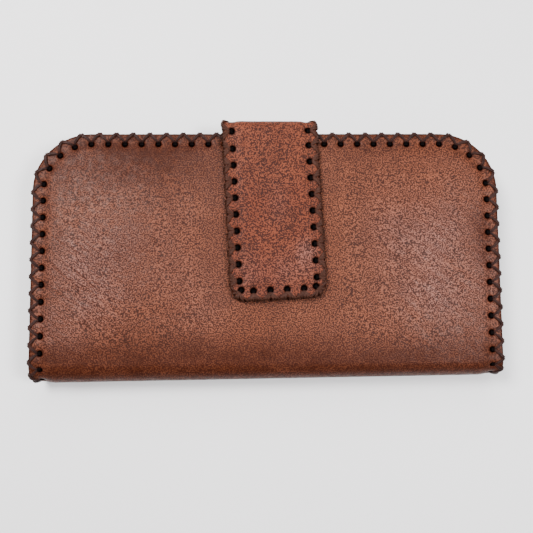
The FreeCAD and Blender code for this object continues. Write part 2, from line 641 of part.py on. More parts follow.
open_stitches = lacing(OPEN_HOLES, PITCH, FOLD_R, BORDER_FACE, BORDER_BACK)
hidden_stitches = lacing(HIDDEN_HOLES, PITCH, FOLD_R, BORDER_FACE, BORDER_BACK)
plain_run = running_stitches(HIDDEN_HOLES, BORDER_FACE, BORDER_BACK)
subpart("lacing_back", feature("lacing_back", Part.makeCompound(open_stitches + [plain_run])), BACK_FRAME)
subpart("lacing_front", feature("lacing_front", Part.makeCompound(open_stitches + hidden_stitches)),
        FRONT_FRAME)
spine_stitches = [stand(stitch((0,), BORDER_FACE, BORDER_BACK), hole, FOLD_R, side)
                  for hole in SPINE_HOLES for side in (1, -1)]
subpart("lacing_spine", feature("lacing_spine", Part.makeCompound(spine_stitches)), SPINE_FRAME)
flap_stitches = lacing(FLAP_HOLES, value("dims.hole_pitch"), STRAP_R, 0, STRAP_BACK, STRAP_INSET)
subpart("lacing_strap_flap", feature("lacing_strap_flap", Part.makeCompound(flap_stitches)), FLAP_FRAME)
riser_stitches = [stand(stitch((0,), 0, STRAP_BACK, STRAP_INSET), hole, STRAP_R, side)
                  for hole in RISER_HOLES for side in (1, -1)]
subpart("lacing_strap_riser", feature("lacing_strap_riser", Part.makeCompound(riser_stitches)),
        RISER_FRAME)

# ---------------------------------------------------------------- check and write

doc.recompute()
for item in doc.Objects:
    if "Invalid" in item.State or "Error" in item.State:
        raise RuntimeError(f"{item.Label} did not recompute: {item.State}")
for item in subparts:
    if item.Shape.isNull() or not item.Shape.isValid():
        raise RuntimeError(f"{item.Label} has no valid shape")

os.makedirs("parts", exist_ok=True)
for item in subparts:
    item.Shape.exportStep(f"parts/{item.Label}.step")
    box = item.Shape.BoundBox
    print(f"{item.Label}: {len(item.Shape.Solids)} solids, {item.Shape.Volume:.1f} mm3, "
          f"x {box.XMin:.2f} {box.XMax:.2f} y {box.YMin:.2f} {box.YMax:.2f} z {box.ZMin:.2f} {box.ZMax:.2f}")
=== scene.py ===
import math

import bpy
from mathutils import Euler, Matrix, Vector, noise
from mathutils.geometry import delaunay_2d_cdt


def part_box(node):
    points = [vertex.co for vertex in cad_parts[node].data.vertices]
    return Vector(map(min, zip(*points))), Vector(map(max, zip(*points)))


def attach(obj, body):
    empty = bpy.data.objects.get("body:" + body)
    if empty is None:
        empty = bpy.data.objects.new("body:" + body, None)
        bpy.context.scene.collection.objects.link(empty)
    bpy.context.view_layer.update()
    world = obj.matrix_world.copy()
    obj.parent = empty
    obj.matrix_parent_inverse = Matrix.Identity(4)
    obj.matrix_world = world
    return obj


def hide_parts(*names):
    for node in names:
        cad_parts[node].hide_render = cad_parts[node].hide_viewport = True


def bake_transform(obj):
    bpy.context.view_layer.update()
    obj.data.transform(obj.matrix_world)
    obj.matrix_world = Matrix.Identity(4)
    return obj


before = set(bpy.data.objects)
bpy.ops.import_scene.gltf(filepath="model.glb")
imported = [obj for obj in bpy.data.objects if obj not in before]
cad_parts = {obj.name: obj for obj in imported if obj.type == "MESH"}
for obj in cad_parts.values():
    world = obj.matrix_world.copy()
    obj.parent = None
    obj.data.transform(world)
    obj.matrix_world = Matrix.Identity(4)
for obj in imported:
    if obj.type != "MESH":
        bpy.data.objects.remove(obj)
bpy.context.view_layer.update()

# A hand-laced folding phone wallet with a closing strap.  Every sheet of leather is drawn flat, in
# run-out coordinates (x across, s along the sheet), punched, and then bent round the same folds as
# the CAD pieces that it stands for.  All lengths are metres; MM turns millimetres into them.

MM = 0.001

# ---- sizes

cover_low, cover_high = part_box("front_cover_leather")
spine_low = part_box("spine_leather")[0]
tail_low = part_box("strap_tail")[0]

WIDTH = cover_high.x - cover_low.x
THICKNESS = cover_high.z
FOLD = THICKNESS / 2  # outside radius of the fold
EDGE_Y = cover_high.y  # opening edge of the leather
FOLD_Y = spine_low.y + FOLD  # where the flats run into the fold
FOLD_FULLNESS = 0.875  # the fold is a little flatter than round
FOLD_TAPER = 0.20  # and swells more at its left end than at its right
QUARTER = math.pi / 2 * FOLD
REACH = QUARTER + EDGE_Y - FOLD_Y  # middle of the fold to the opening edge, run out
CORNER = 23.0 * MM
LEATHER = 1.8 * MM
SHELL = 2.4 * MM  # cover leather and its lining
BORDER = 6.2 * MM  # skived border that the lace lies in
BORDER_SKIVE = 0.7 * MM
HOLE_R = 1.15 * MM
LACE_HOLE_R = 0.38 * MM  # the lining closes round the lace
INSET = 4.3 * MM
STRAP_INSET = 3.6 * MM
PITCH_WANTED = 6.6 * MM
HOLE_SIDES = 18
HOLE_RINGS = (0.14, 0.42, 0.85)  # rings of mesh points round a hole, beyond its radius
EDGE_ROWS = (0.12, 0.35, 0.75)  # rows of mesh points inside a cut edge
GRID_CLEAR = 1.25 * MM  # the plain grid of mesh points starts this far in
HOLE_CLEAR = 1.3 * MM  # and this far from a hole
HOLE_REACH = 4 * MM  # a hole changes nothing farther off than this
TINY = 1e-9
WELD = 1e-7  # mesh points closer than this are one point

STRAP_WIDTH = 37.6 * MM
STRAP_OUTER = 1.4 * MM
STRAP_SHELL = 2.4 * MM
STRAP_SKIVE = 0.5 * MM
STRAP_GAP = 0.4 * MM  # closed strap above the front cover
STRAP_TOP = THICKNESS + STRAP_GAP + STRAP_SHELL
STRAP_BEND = 4.2 * MM
STRAP_OVERHANG = 5.2 * MM
STRAP_CORNER = 5.5 * MM
STRAP_OFFSET = 1.3 * MM
STRAP_LEAN = math.radians(2.7)
TAIL_FACE = tail_low.z
TAIL_LENGTH = 22.0 * MM
BEND_Y = STRAP_OVERHANG - STRAP_BEND
FLAP = 66.9 * MM + BEND_Y
STRAP_QUARTER = math.pi / 2 * STRAP_BEND
RISER = STRAP_TOP - TAIL_FACE - 2 * STRAP_BEND
STRAP_PITCH = 6.6 * MM
SIDE_HOLES = 11  # up each side of the strap's upper half
FIRST_SIDE_HOLE = STRAP_INSET + 0.62 * STRAP_PITCH  # from the strap's free end
STRAP_MIDDLE = FIRST_SIDE_HOLE + (SIDE_HOLES - 0.5) * STRAP_PITCH  # where its two halves meet
INTO_CASE = FLAP + 2 * STRAP_QUARTER + RISER  # where the tail goes in


def smooth(low, high, number):
    """0 at low, 1 at high, smooth between; low may be the larger of the two."""
    share = min(1.0, max(0.0, (number - low) / (high - low)))
    return share * share * (3 - 2 * share)


def fade(low, high, number):
    """smooth with its two limits in millimetres."""
    return smooth(low * MM, high * MM, number)


def steps(low, high, size):
    count = max(1, round((high - low) / size))
    return [low + (high - low) * i / count for i in range(count + 1)]


# ---- run-out to space

def cover_point(x, s, depth, back=False):
    """A point of a cover: s runs from the middle of the fold, depth goes inwards."""
    if s < QUARTER:
        angle = s / FOLD
        radius = FOLD - depth
        y = FOLD_Y - radius * math.cos(angle) * (FOLD_FULLNESS - FOLD_TAPER * x / WIDTH)
        z = FOLD + radius * math.sin(angle)
    else:
        y = FOLD_Y + s - QUARTER
        z = THICKNESS - depth
    return Vector((x, y, THICKNESS - z if back else z))


def front_point(x, s, depth):
    return cover_point(x, s, depth)


def back_point(x, s, depth):
    return cover_point(x, s, depth, back=True)


def strap_point(x, s, depth):
    """A point of the strap: s runs from its free end over the bends to the tail."""
    upper = s - FLAP
    lower = upper - STRAP_QUARTER - RISER
    if upper < 0:
        y, z = BEND_Y + upper, STRAP_TOP - depth
    elif upper < STRAP_QUARTER:
        angle = upper / STRAP_BEND
        y = BEND_Y + (STRAP_BEND - depth) * math.sin(angle)
        z = STRAP_TOP - STRAP_BEND + (STRAP_BEND - depth) * math.cos(angle)
    elif lower < 0:
        y, z = STRAP_OVERHANG - depth, TAIL_FACE + STRAP_BEND - lower
    elif lower < STRAP_QUARTER:
        angle = lower / STRAP_BEND
        y = BEND_Y + (STRAP_BEND - depth) * math.cos(angle)
        z = TAIL_FACE + STRAP_BEND - (STRAP_BEND - depth) * math.sin(angle)
    else:
        y, z = BEND_Y - (lower - STRAP_QUARTER), TAIL_FACE + depth
    square = smooth(FLAP - 7 * MM, FLAP + 1 * MM, s)
    square *= smooth(STRAP_MIDDLE + 32 * MM, STRAP_MIDDLE + 14 * MM, s)
    y -= x * math.tan(STRAP_LEAN) * square         # the bends lie square to the opening edge
    lean = Matrix.Rotation(STRAP_LEAN, 3, "Z")
    return Vector((STRAP_OFFSET, EDGE_Y, 0)) + lean @ Vector((x, y, z))


def strap_upper(x, s, depth):
    return strap_point(x, STRAP_MIDDLE - s, depth)


def strap_lower(x, s, depth):
    return strap_point(x, STRAP_MIDDLE + s, depth)


class Seam:
    """The lacing line of a half sheet: up the right side from s = 0, across its far edge, and down
    the left side.  A place on it is (t, v), with v out towards the leather's edge."""

    def __init__(self, width, reach, corner, inset):
        self.half = width / 2
        self.reach = reach
        self.corner = corner
        self.inset = inset
        self.inner = max(corner - inset, 1e-6)
        self.side = reach - corner
        self.arc = math.pi / 2 * self.inner
        self.length = self.side + self.arc + self.half - corner

    def place(self, t, v):
        if t > self.length:
            x, s = self.place(2 * self.length - t, v)
            return -x, s
        if t < self.side:
            return self.half - self.inset + v, t
        if t < self.side + self.arc:
            angle = (t - self.side) / self.inner
            radius = self.inner + v
            return (self.half - self.corner + radius * math.cos(angle),
                    self.side + radius * math.sin(angle))
        return self.half - self.corner - (t - self.side - self.arc), self.reach - self.inset + v

    def edge(self, x, s):
        """How far (x, s) lies inside the leather's edge."""
        across = abs(x) - (self.half - self.corner)
        along = s - self.side
        if across > 0 and along > 0:
            return self.corner - math.hypot(across, along)
        return min(self.half - abs(x), self.reach - s)


def both_sides(stops, seam):
    return stops + [2 * seam.length - t for t in reversed(stops)]


COVER_SEAM = Seam(WIDTH, REACH, CORNER, INSET)
COVER_COUNT = round(COVER_SEAM.length / PITCH_WANTED)
COVER_PITCH = COVER_SEAM.length / COVER_COUNT
COVER_STOPS = both_sides([(index + 0.5) * COVER_PITCH for index in range(COVER_COUNT)], COVER_SEAM)
COVER_HOLES = [COVER_SEAM.place(t, 0) for t in COVER_STOPS]

STRAP_SEAM = Seam(STRAP_WIDTH, STRAP_MIDDLE, STRAP_CORNER, STRAP_INSET)
side_stops = [(index + 0.5) * STRAP_PITCH for index in range(SIDE_HOLES)]
corner_stop = STRAP_SEAM.side + STRAP_SEAM.arc / 2
end_stops = [STRAP_SEAM.length - 1.5 * STRAP_PITCH, STRAP_SEAM.length - 0.5 * STRAP_PITCH]
STRAP_STOPS = both_sides(side_stops + [corner_stop] + end_stops, STRAP_SEAM)
STRAP_HOLES = [STRAP_SEAM.place(t, 0) for t in STRAP_STOPS]
LOWER_REACH = INTO_CASE + TAIL_LENGTH - STRAP_MIDDLE
LOWER_BEND = INTO_CASE - STRAP_MIDDLE  # the same place, from where the halves meet
TAIL_CORNER = 2 * MM
TAIL_THIN = 0.4 * MM  # the tail is thinner than the strap by this
LOWER_SEAM = Seam(STRAP_WIDTH, LOWER_REACH, TAIL_CORNER, STRAP_INSET)
LOWER_STOPS = [0.5 * STRAP_PITCH, 1.5 * STRAP_PITCH]
LOWER_HOLES = [(side * LOWER_SEAM.place(t, 0)[0], t) for t in LOWER_STOPS for side in (1, -1)]

# ---- sheets of leather


def hole_gap(holes, x, s):
    """Distance from (x, s) to the nearest hole's centre."""
    return min((math.hypot(x - across, s - along) for across, along in holes
                if abs(across - x) < HOLE_REACH and abs(along - s) < HOLE_REACH), default=1.0)


def ring(centre, radius):
    turns = [2 * math.pi * i / HOLE_SIDES for i in range(HOLE_SIDES)]
    return [(centre[0] + radius * math.cos(a), centre[1] + radius * math.sin(a)) for a in turns]


def open_edges(faces):
    """Edges that only one face has, each in that face's direction."""
    directed = {(face[i], face[(i + 1) % 3]) for face in faces for i in range(3)}
    return sorted((a, b) for a, b in directed if (b, a) not in directed)


def flat_sheet(seam, holes, xs, ss, radius=HOLE_R, rim=1.3 * MM):
    """The half sheet, run out flat and punched: its points, triangles, border edges and holes."""
    points = []
    edges = []

    def loop(chain):
        first = len(points)
        points.extend(Vector(place) for place in chain)
        edges.extend((first + i, first + (i + 1) % len(chain)) for i in range(len(chain)))

    right = [seam.place(t, seam.inset) for t in steps(0, seam.length, rim)]
    left = [(-x, s) for x, s in reversed(right[:-1])]
    loop(right + left + [(x, 0.0) for x in steps(-seam.half, seam.half, 1.6 * MM)[1:-1]])
    for hole in holes:
        loop(ring(hole, radius))
    for hole in holes:
        for extra in HOLE_RINGS:
            points.extend(Vector(place) for place in ring(hole, radius + extra * MM))
    for inside in EDGE_ROWS:
        for t in steps(0, seam.length, rim)[1:]:
            for side in (1, -1):
                x, s = seam.place(t - rim / 2, seam.inset - inside * MM)
                if hole_gap(holes, x, s) > HOLE_R + 1.0 * MM:
                    points.append(Vector((side * x, s)))
    for x in xs:
        for s in ss:
            clear = seam.edge(x, s) > GRID_CLEAR and hole_gap(holes, x, s) > HOLE_R + HOLE_CLEAR
            if s > 0 and clear:
                points.append(Vector((x, s)))
    coords, _, faces, _, _, _ = delaunay_2d_cdt(points, edges, [], 1, WELD)
    kept = []
    for face in faces:
        middle = (coords[face[0]] + coords[face[1]] + coords[face[2]]) / 3
        if hole_gap(holes, middle.x, middle.y) > 0.97 * radius:
            kept.append(tuple(face))
    return [(c.x, c.y) for c in coords], kept, open_edges(kept), holes


def new_object(name, verts, faces, material):
    mesh = bpy.data.meshes.new(name)
    mesh.from_pydata([tuple(vert) for vert in verts], [], faces)
    mesh.materials.append(material)
    mesh.shade_smooth()
    mesh.update()
    piece = bpy.data.objects.new(name, mesh)
    bpy.context.scene.collection.objects.link(piece)
    return piece


def paint(piece, layer, values):
    """Store one number for each point, for the material to read."""
    piece.data.attributes.new(layer, "FLOAT", "POINT").data.foreach_set("value", values)
    return piece


def leather_piece(name, flat, point, top, bottom, material, turned, wear_and_shade, sheen_and_scuff=None):
    """A sheet with thickness; top and bottom give the depths of its two faces at a flat point.

    Its edge at s = 0 stays open, where the other half of the sheet goes on."""
    places, faces, border, holes = flat
    used = sorted({i for face in faces for i in face})
    index = {old: new for new, old in enumerate(used)}
    count = len(used)
    spots = [places[i] for i in used]
    verts = [point(*spot, depth(*spot)) for depth in (top, bottom) for spot in spots]
    polys = []
    for a, b, c in faces:
        polys.append((index[a], index[b], index[c]))
        polys.append((index[c] + count, index[b] + count, index[a] + count))
    for a, b in border:
        if abs(places[a][1]) > TINY or abs(places[b][1]) > TINY:
            polys.append((index[b], index[a], index[a] + count, index[b] + count))
    if turned:
        polys = [tuple(reversed(poly)) for poly in polys]
    piece = new_object(name, verts, polys, material)
    # Painted shade: points at the hole walls get 2.0, which the material paints black; the other face
    # gets at least 0.3, a little darker all over.
    punched = [2.0 if hole_gap(holes, *spot) < HOLE_R + 0.02 * MM else 0.0 for spot in spots]
    shades = [max(hole, wear_and_shade(*spot)) for spot, hole in zip(spots, punched)]
    paint(piece, "wear_and_shade", shades + [max(hole, 0.3) for hole in punched])
    # Front face only: share of pinkish patches, painted sheen on the cover, scuffs and painted sheen on
    # the strap.
    return paint(piece, "sheen_and_scuff", [sheen_and_scuff(*spot) if sheen_and_scuff else 0.0 for spot in spots] + [0.0] * count)


def rounded(edge, radius):
    """Depth lost where a cut edge is rounded off."""
    if edge >= radius:
        return 0.0
    return radius - math.sqrt(max(0.0, radius * radius - (radius - edge) ** 2))


def ripple(x, s, scale, seed):
    """Soft uneven height, -1 to 1."""
    return noise.noise(Vector((x * scale, s * scale, seed)))


def swept(first, end, size):
    """Faces of a closed tube whose rings of size points run from vertex first to vertex end."""
    sides = [(ring + j, ring + (j + 1) % size, ring + size + (j + 1) % size, ring + size + j)
             for ring in range(first, end - size, size) for j in range(size)]
    return sides + [tuple(reversed(range(first, first + size))), tuple(range(end - size, end))]


# ---- lacing

LACE_GAP = 0.05 * MM  # lace above the leather
LACE_OVER = 0.30 * MM  # the upper strand of a crossing, above the lower one
LACE_SECTION = [(1.0, 0.0), (0.78, 0.8), (0.3, 1.1), (-0.3, 1.1), (-0.78, 0.8), (-1.0, 0.0),
                (-0.8, -0.8), (0.8, -0.8)]


def curve_through(points, count):
    """Catmull-Rom through points of any dimension."""
    padded = [points[0]] + points + [points[-1]]
    result = []
    spans = len(points) - 1
    for i in range(count):
        whole = min(i * spans / (count - 1), spans - TINY)
        k = int(whole)
        f = whole - k
        a, b, c, d = padded[k:k + 4]
        result.append([0.5 * (2 * q + (r - p) * f + (2 * p - 5 * q + 4 * r - e) * f * f
                              + (3 * q - p - 3 * r + e) * f ** 3) for p, q, r, e in zip(a, b, c, d)])
    return result


class Lace:
    """Flat waxed lace on one half sheet, as one mesh of separate strands."""

    def __init__(self, seam, point, top, bottom, thick, width, plies):
        self.seam = seam
        self.point = point
        self.top = top
        self.bottom = bottom
        self.thick = thick
        self.width = width
        self.plies = plies              # where each ply meets the edge, from midway between two holes
        self.verts = []
        self.faces = []
        self.shade = []

    def spot(self, t, v, depth):
        return self.point(*self.seam.place(t, v), depth)

    def face_depth(self, t, v, inner):
        x, s = self.seam.place(t, min(v, self.seam.inset - 0.05 * MM))
        s = max(s, 0.0)
        return self.bottom(x, s) if inner else self.top(x, s)

    def leg(self, hole, meet, lift, inner, fan):
        """From inside a hole to the edge at meet, on one face: (t, v, depth, turn, width)."""
        sign = 1 if inner else -1
        rest = self.thick / 2 + LACE_GAP
        inset = self.seam.inset
        middle = (self.face_depth(hole, 0.9 * MM, True) + self.face_depth(hole, 0.9 * MM, False)) / 2

        def over(t, v, extra):
            return self.face_depth(t, v, inner) + sign * (rest + extra)

        def on_face(share, v, extra, turn, width):
            t = hole + share * slope
            return t, v, over(t, v, extra), turn, width

        slope = meet - hole
        far = self.face_depth(hole, 0.9 * MM, not inner)
        rows = [(hole + 0.10 * slope, -0.35 * MM, far, -100, 0.95),
                (hole + 0.10 * slope, 0.15 * MM, middle, -110, 0.95),
                (hole + 0.10 * slope, 0.74 * MM, over(hole, 1.3 * MM, 0) - sign * 0.45 * MM, -80, 0.85),
                (hole + 0.15 * slope, 1.25 * MM, over(hole, 1.3 * MM, 0.08 * MM), -15, 0.9),
                on_face(0.42, 0.55 * inset, lift * 0.3, 0, 1.0),
                on_face(0.80, 0.86 * inset, lift, 8, 0.55 + 0.5 * fan),
                (hole + 0.97 * slope, inset + 0.05 * MM,
                 over(meet, inset, lift * 0.8) - sign * 0.12 * MM, 42, fan)]
        if inner:
            rows = [(t, v, depth, 180 - turn, width) for t, v, depth, turn, width in reversed(rows)]
        return rows

    def crossing(self, meet, lift, fan):
        """The lace's place on the very edge."""
        inset = self.seam.inset
        middle = (self.face_depth(meet, inset, True) + self.face_depth(meet, inset, False)) / 2
        return (meet, inset + self.thick / 2 + 0.08 * MM + lift, middle, 90, fan)

    def strand(self, rows, count=26):
        """Sweep a flat, slightly crowned section along a route."""
        samples = curve_through([list(row) for row in rows], count)
        spots = [self.spot(t, v, depth) for t, v, depth, turn, width in samples]
        first = len(self.verts)
        for i, (t, v, depth, turn, width) in enumerate(samples):
            along = (spots[min(i + 1, count - 1)] - spots[max(i - 1, 0)]).normalized()
            angle = math.radians(turn)
            probe = self.spot(t, v + LACE_GAP * math.sin(angle), depth - LACE_GAP * math.cos(angle))
            up = (probe - spots[i]).normalized()
            across = along.cross(up).normalized()
            up = across.cross(along).normalized()
            half = self.width / 2 * width
            high = self.thick / 2
            for a, b in LACE_SECTION:
                self.verts.append(spots[i] + across * (a * half) + up * (b * high))
                # Painted shade: the strand is marked dark where it turns down into a hole.
                self.shade.append(smooth(-25, -60, turn) if turn < 0 else smooth(205, 240, turn))
        self.faces += swept(first, len(self.verts), len(LACE_SECTION))

    def cross_stitch(self, one, two, fan):
        """Two strands that cross over the edge between neighbouring holes."""
        for hole, other, lift in ((one, two, 0.0), (two, one, LACE_OVER)):
            for ply in self.plies:
                meet = (one + two) / 2 + math.copysign(ply, (other - hole) * ply)
                self.strand(self.leg(hole, meet, lift, False, fan) + [self.crossing(meet, lift, fan)]
                            + self.leg(other, meet, lift, True, fan))

    def half_stitch(self, hole, meet, fan, outer_lift=0.0):
        """The parts of a cross stitch that lie on this half, where the sheet's halves meet."""
        for inner, lift in ((False, outer_lift), (True, LACE_OVER - outer_lift)):
            for ply in self.plies:
                edge = meet + math.copysign(ply, (meet - hole) * ply)
                leg = self.leg(hole, edge, lift, inner, fan)
                end = self.crossing(edge, lift, fan)
                self.strand([end] + leg if inner else leg + [end], 16)

    def run_stitch(self, one, two):
        """Lace straight from hole to hole on both faces, where the strap leaves the seam."""
        for inner in (False, True):
            sign = 1 if inner else -1
            rest = self.thick / 2 + LACE_GAP
            face = self.face_depth((one + two) / 2, 0, inner)
            deep = face - sign * 0.9 * MM
            near = one + 0.75 * MM
            far = two - 0.75 * MM
            turn = 180 if inner else 0
            for v in self.plies:
                self.strand([(near, v, deep, turn, 0.85), (near + 0.2 * MM, v, face, turn, 0.9),
                             (near + 0.9 * MM, v, face + sign * rest, turn, 1.0),
                             (far - 0.9 * MM, v, face + sign * rest, turn, 1.0),
                             (far - 0.2 * MM, v, face, turn, 0.9), (far, v, deep, turn, 0.85)], 18)

    def piece(self, name, material):
        return paint(new_object(name, self.verts, self.faces, material), "wear_and_shade", self.shade)


def lace_up(lace, stops, seam_end, fan, plain=None, outer_lift=0.0):
    """Lace a whole half sheet: crossed between holes, with half stitches at the fold."""
    lace.half_stitch(stops[0], 0.0, fan, outer_lift)
    for one, two in zip(stops, stops[1:]):
        if plain and plain((one + two) / 2):
            lace.run_stitch(one, two)
        else:
            lace.cross_stitch(one, two, fan)
    lace.half_stitch(stops[-1], seam_end, fan, outer_lift)


# ---- materials


class Shade:
    """A procedural material under construction, with object coordinates already in place."""

    def __init__(self, name):
        self.material = bpy.data.materials.new(name)
        self.material.use_nodes = True
        self.tree = self.material.node_tree
        self.surface = self.tree.nodes["Principled BSDF"]
        self.place = self.add("ShaderNodeTexCoord").outputs["Object"]

    def add(self, kind, **settings):
        node = self.tree.nodes.new(kind)
        for key, setting in settings.items():
            setattr(node, key, setting)
        return node

    def feed(self, socket, source):
        if isinstance(source, bpy.types.NodeSocket):
            self.tree.links.new(source, socket)
        else:
            socket.default_value = source

    def fill(self, node, **sources):
        """Feed sockets by name, with _ for a space."""
        for key, source in sources.items():
            self.feed(node.inputs[key.replace("_", " ")], source)

    def noise(self, scale, detail=3.0, rough=0.55, warp=0.0, stretch=None, turn=0.0):
        node = self.add("ShaderNodeTexNoise")
        source = self.place
        if stretch:
            mapping = self.add("ShaderNodeMapping", vector_type="TEXTURE")
            self.fill(mapping, Vector=source, Rotation=(0.0, 0.0, turn),
                      Scale=[1 / part for part in stretch])
            source = mapping.outputs["Vector"]
        self.fill(node, Vector=source, Scale=scale, Detail=detail, Roughness=rough, Distortion=warp)
        return node.outputs["Fac"]

    def cells(self, scale):
        node = self.add("ShaderNodeTexVoronoi")
        self.fill(node, Vector=self.place, Scale=scale)
        return node.outputs["Distance"]

    def reach(self, source, low, high, to_low=0.0, to_high=1.0):
        node = self.add("ShaderNodeMapRange", interpolation_type="SMOOTHSTEP")
        self.fill(node, Value=source, From_Min=low, From_Max=high, To_Min=to_low, To_Max=to_high)
        return node.outputs["Result"]

    def sum(self, one, two, how="ADD"):
        node = self.add("ShaderNodeMath", operation=how)
        self.feed(node.inputs[0], one)
        self.feed(node.inputs[1], two)
        return node.outputs["Value"]

    def times(self, one, two):
        return self.sum(one, two, "MULTIPLY")

    def attribute(self, layer):
        return self.add("ShaderNodeAttribute", attribute_name=layer).outputs["Fac"]

    def mix(self, share, one, two):
        node = self.add("ShaderNodeMix", data_type="RGBA")
        self.feed(node.inputs["Factor"], share)
        for name, source in (("A", one), ("B", two)):
            socket = next(s for s in node.inputs if s.name == name and s.type == "RGBA")
            self.feed(socket, source if isinstance(source, bpy.types.NodeSocket) else (*source, 1.0))
        return next(s for s in node.outputs if s.type == "RGBA")

    def bump(self, height, strength, distance, under=None):
        node = self.add("ShaderNodeBump")
        self.fill(node, Strength=strength, Distance=distance, Height=height)
        if under:
            self.fill(node, Normal=under)
        return node.outputs["Normal"]

    def finish(self, colour, roughness, normal, **extras):
        self.fill(self.surface, Base_Color=colour, Roughness=roughness, Normal=normal, **extras)
        return self.material


def leather(name, base, dark, light, speck_burnish_and_shade, grain=1.0, shine=0.46):
    """Vegetable-tanned leather: cloudy patches, a fine dark mottle in the grain, burnished edges,
    painted shade (black holes, a dark band at the fold) and pinkish painted sheen patches.
    """
    shade = Shade(name)
    clouds = shade.reach(shade.noise(24, 4, 0.5, 0.3), 0.36, 0.68)
    drift = shade.reach(shade.noise(90, 5, 0.6, 0.4), 0.40, 0.68)
    mottle = shade.reach(shade.noise(2000, 2.0, 0.5, 0.2), 0.445, 0.53)
    specks = shade.reach(shade.noise(700, 3, 0.6), 0.60, 0.72)
    # Pinkish patches: painted sheen on the front cover where the lamps reflect; on the strap, partly
    # scuffs and partly painted sheen.
    sheen_and_scuff_share = shade.attribute("sheen_and_scuff")
    sheen_and_scuff_share = shade.times(sheen_and_scuff_share, shade.reach(shade.noise(70, 5, 0.6), 0.3, 0.7, 0.55, 1.15))
    colour = shade.mix(shade.times(clouds, 0.45), base, light)
    colour = shade.mix(shade.times(drift, 0.25), colour, dark)
    colour = shade.mix(shade.times(sheen_and_scuff_share, 0.50), colour, SHEEN_AND_SCUFF_PINK)
    colour = shade.mix(shade.times(mottle, 0.90), colour, dark)
    colour = shade.mix(shade.times(specks, 0.6), colour, speck_burnish_and_shade)
    # Darkening from the per-point attribute: burnish at cut edges and holes, and painted shade in the
    # fold band, the border and the dark spots.
    wear_and_shade_level = shade.attribute("wear_and_shade")
    wear_and_shade = shade.times(wear_and_shade_level, shade.reach(shade.noise(320, 5, 0.6), 0.3, 0.7, 0.85, 1.12))
    colour = shade.mix(shade.reach(wear_and_shade, 0.0, 1.0), colour, speck_burnish_and_shade)
    # Painted shade: black at hole walls and where a hole's bottom shows.
    colour = shade.mix(shade.reach(wear_and_shade_level, 1.1, 1.9), colour, (0.002, 0.0015, 0.0015))
    rough = shade.reach(shade.noise(420, 5, 0.6), 0.3, 0.7, shine - 0.07, shine + 0.10)
    rough = shade.sum(rough, shade.times(mottle, 0.06))
    rough = shade.sum(rough, shade.times(sheen_and_scuff_share, 0.05), "SUBTRACT")
    fine = shade.bump(shade.noise(2600, 4, 0.6), 0.14 * grain, 0.00012)
    pebble = shade.bump(shade.reach(shade.cells(1150), 0.0, 0.55), 0.26 * grain, 0.00016, fine)
    grained = shade.bump(mottle, -0.18 * grain, 0.00016, pebble)
    creased = shade.bump(shade.noise(240, 6, 0.62, 0.5), 0.22 * grain, 0.0005, grained)
    pulled = shade.noise(60, 4, 0.6, 0.8, stretch=(0.9, 6.0, 0.9), turn=math.radians(-36))
    creased = shade.bump(shade.times(pulled, sheen_and_scuff_share), 0.55, 0.0022, creased)
    gloss = shade.reach(wear_and_shade_level, 0.25, 1.3, 0.11, 0.0)
    return shade.finish(colour, rough, creased, Specular_IOR_Level=gloss)


def waxed_thread(name, base, dark, light):
    shade = Shade(name)
    tone = shade.reach(shade.noise(420, 4, 0.6), 0.36, 0.64)
    fibre = shade.reach(shade.noise(2600, 4, 0.65), 0.42, 0.62)
    colour = shade.mix(shade.times(tone, 0.6), base, light)
    colour = shade.mix(shade.times(fibre, 0.6), colour, dark)
    # Painted shade: near black where the lace lies down inside a hole.
    colour = shade.mix(shade.attribute("wear_and_shade"), colour, (0.004, 0.003, 0.003))
    rough = shade.reach(shade.noise(700, 3), 0.35, 0.65, 0.40, 0.62)
    fibres = shade.bump(shade.noise(3600, 4, 0.7), 0.45, 0.00015)
    twist = shade.bump(shade.noise(900, 3, 0.6), 0.35, 0.0002, fibres)
    gloss = shade.reach(shade.attribute("wear_and_shade"), 0.2, 0.8, 0.09, 0.0)
    return shade.finish(colour, rough, twist, Specular_IOR_Level=gloss)


def metal(name, bright, dull, metallic, low, high):
    shade = Shade(name)
    brushed = shade.noise(260, 6, 0.7, stretch=(1.0, 14.0, 1.0))
    spots = shade.reach(shade.noise(500, 5, 0.65), 0.45, 0.72)
    colour = shade.mix(shade.times(spots, 0.7), bright, dull)
    rough = shade.reach(brushed, 0.3, 0.7, low, high)
    lines = shade.bump(brushed, 0.10, 0.0001)
    return shade.finish(colour, rough, lines, Metallic=metallic)


# Pinkish colour of the painted sheen patches and of the strap's scuffs.
SHEEN_AND_SCUFF_PINK = (0.215, 0.101, 0.084)
COVER_BROWN = leather("cover leather", (0.151, 0.0430, 0.0190), (0.0155, 0.0038, 0.0023),
                      (0.160, 0.052, 0.028), (0.021, 0.0032, 0.0005))
STRAP_BROWN = leather("strap leather", (0.131, 0.0290, 0.0120), (0.0120, 0.0028, 0.0019),
                      (0.160, 0.042, 0.018), (0.013, 0.0027, 0.0010), shine=0.50)
LINING_BROWN = leather("lining leather", (0.066, 0.025, 0.0135), (0.026, 0.0095, 0.0052),
                       (0.088, 0.036, 0.020), (0.018, 0.006, 0.003), grain=0.8, shine=0.55)
POCKET_BROWN = leather("pocket leather", (0.082, 0.030, 0.0150), (0.030, 0.0105, 0.0055),
                       (0.110, 0.043, 0.022), (0.018, 0.0055, 0.003), grain=0.9, shine=0.5)
LACE_BROWN = waxed_thread("waxed lace", (0.0185, 0.0062, 0.0047), (0.0045, 0.0016, 0.0013),
                          (0.040, 0.0145, 0.0110))
STRAP_LACE_BROWN = waxed_thread("waxed strap lace", (0.034, 0.0112, 0.0064), (0.010, 0.0032, 0.0019),
                                (0.058, 0.021, 0.0130))
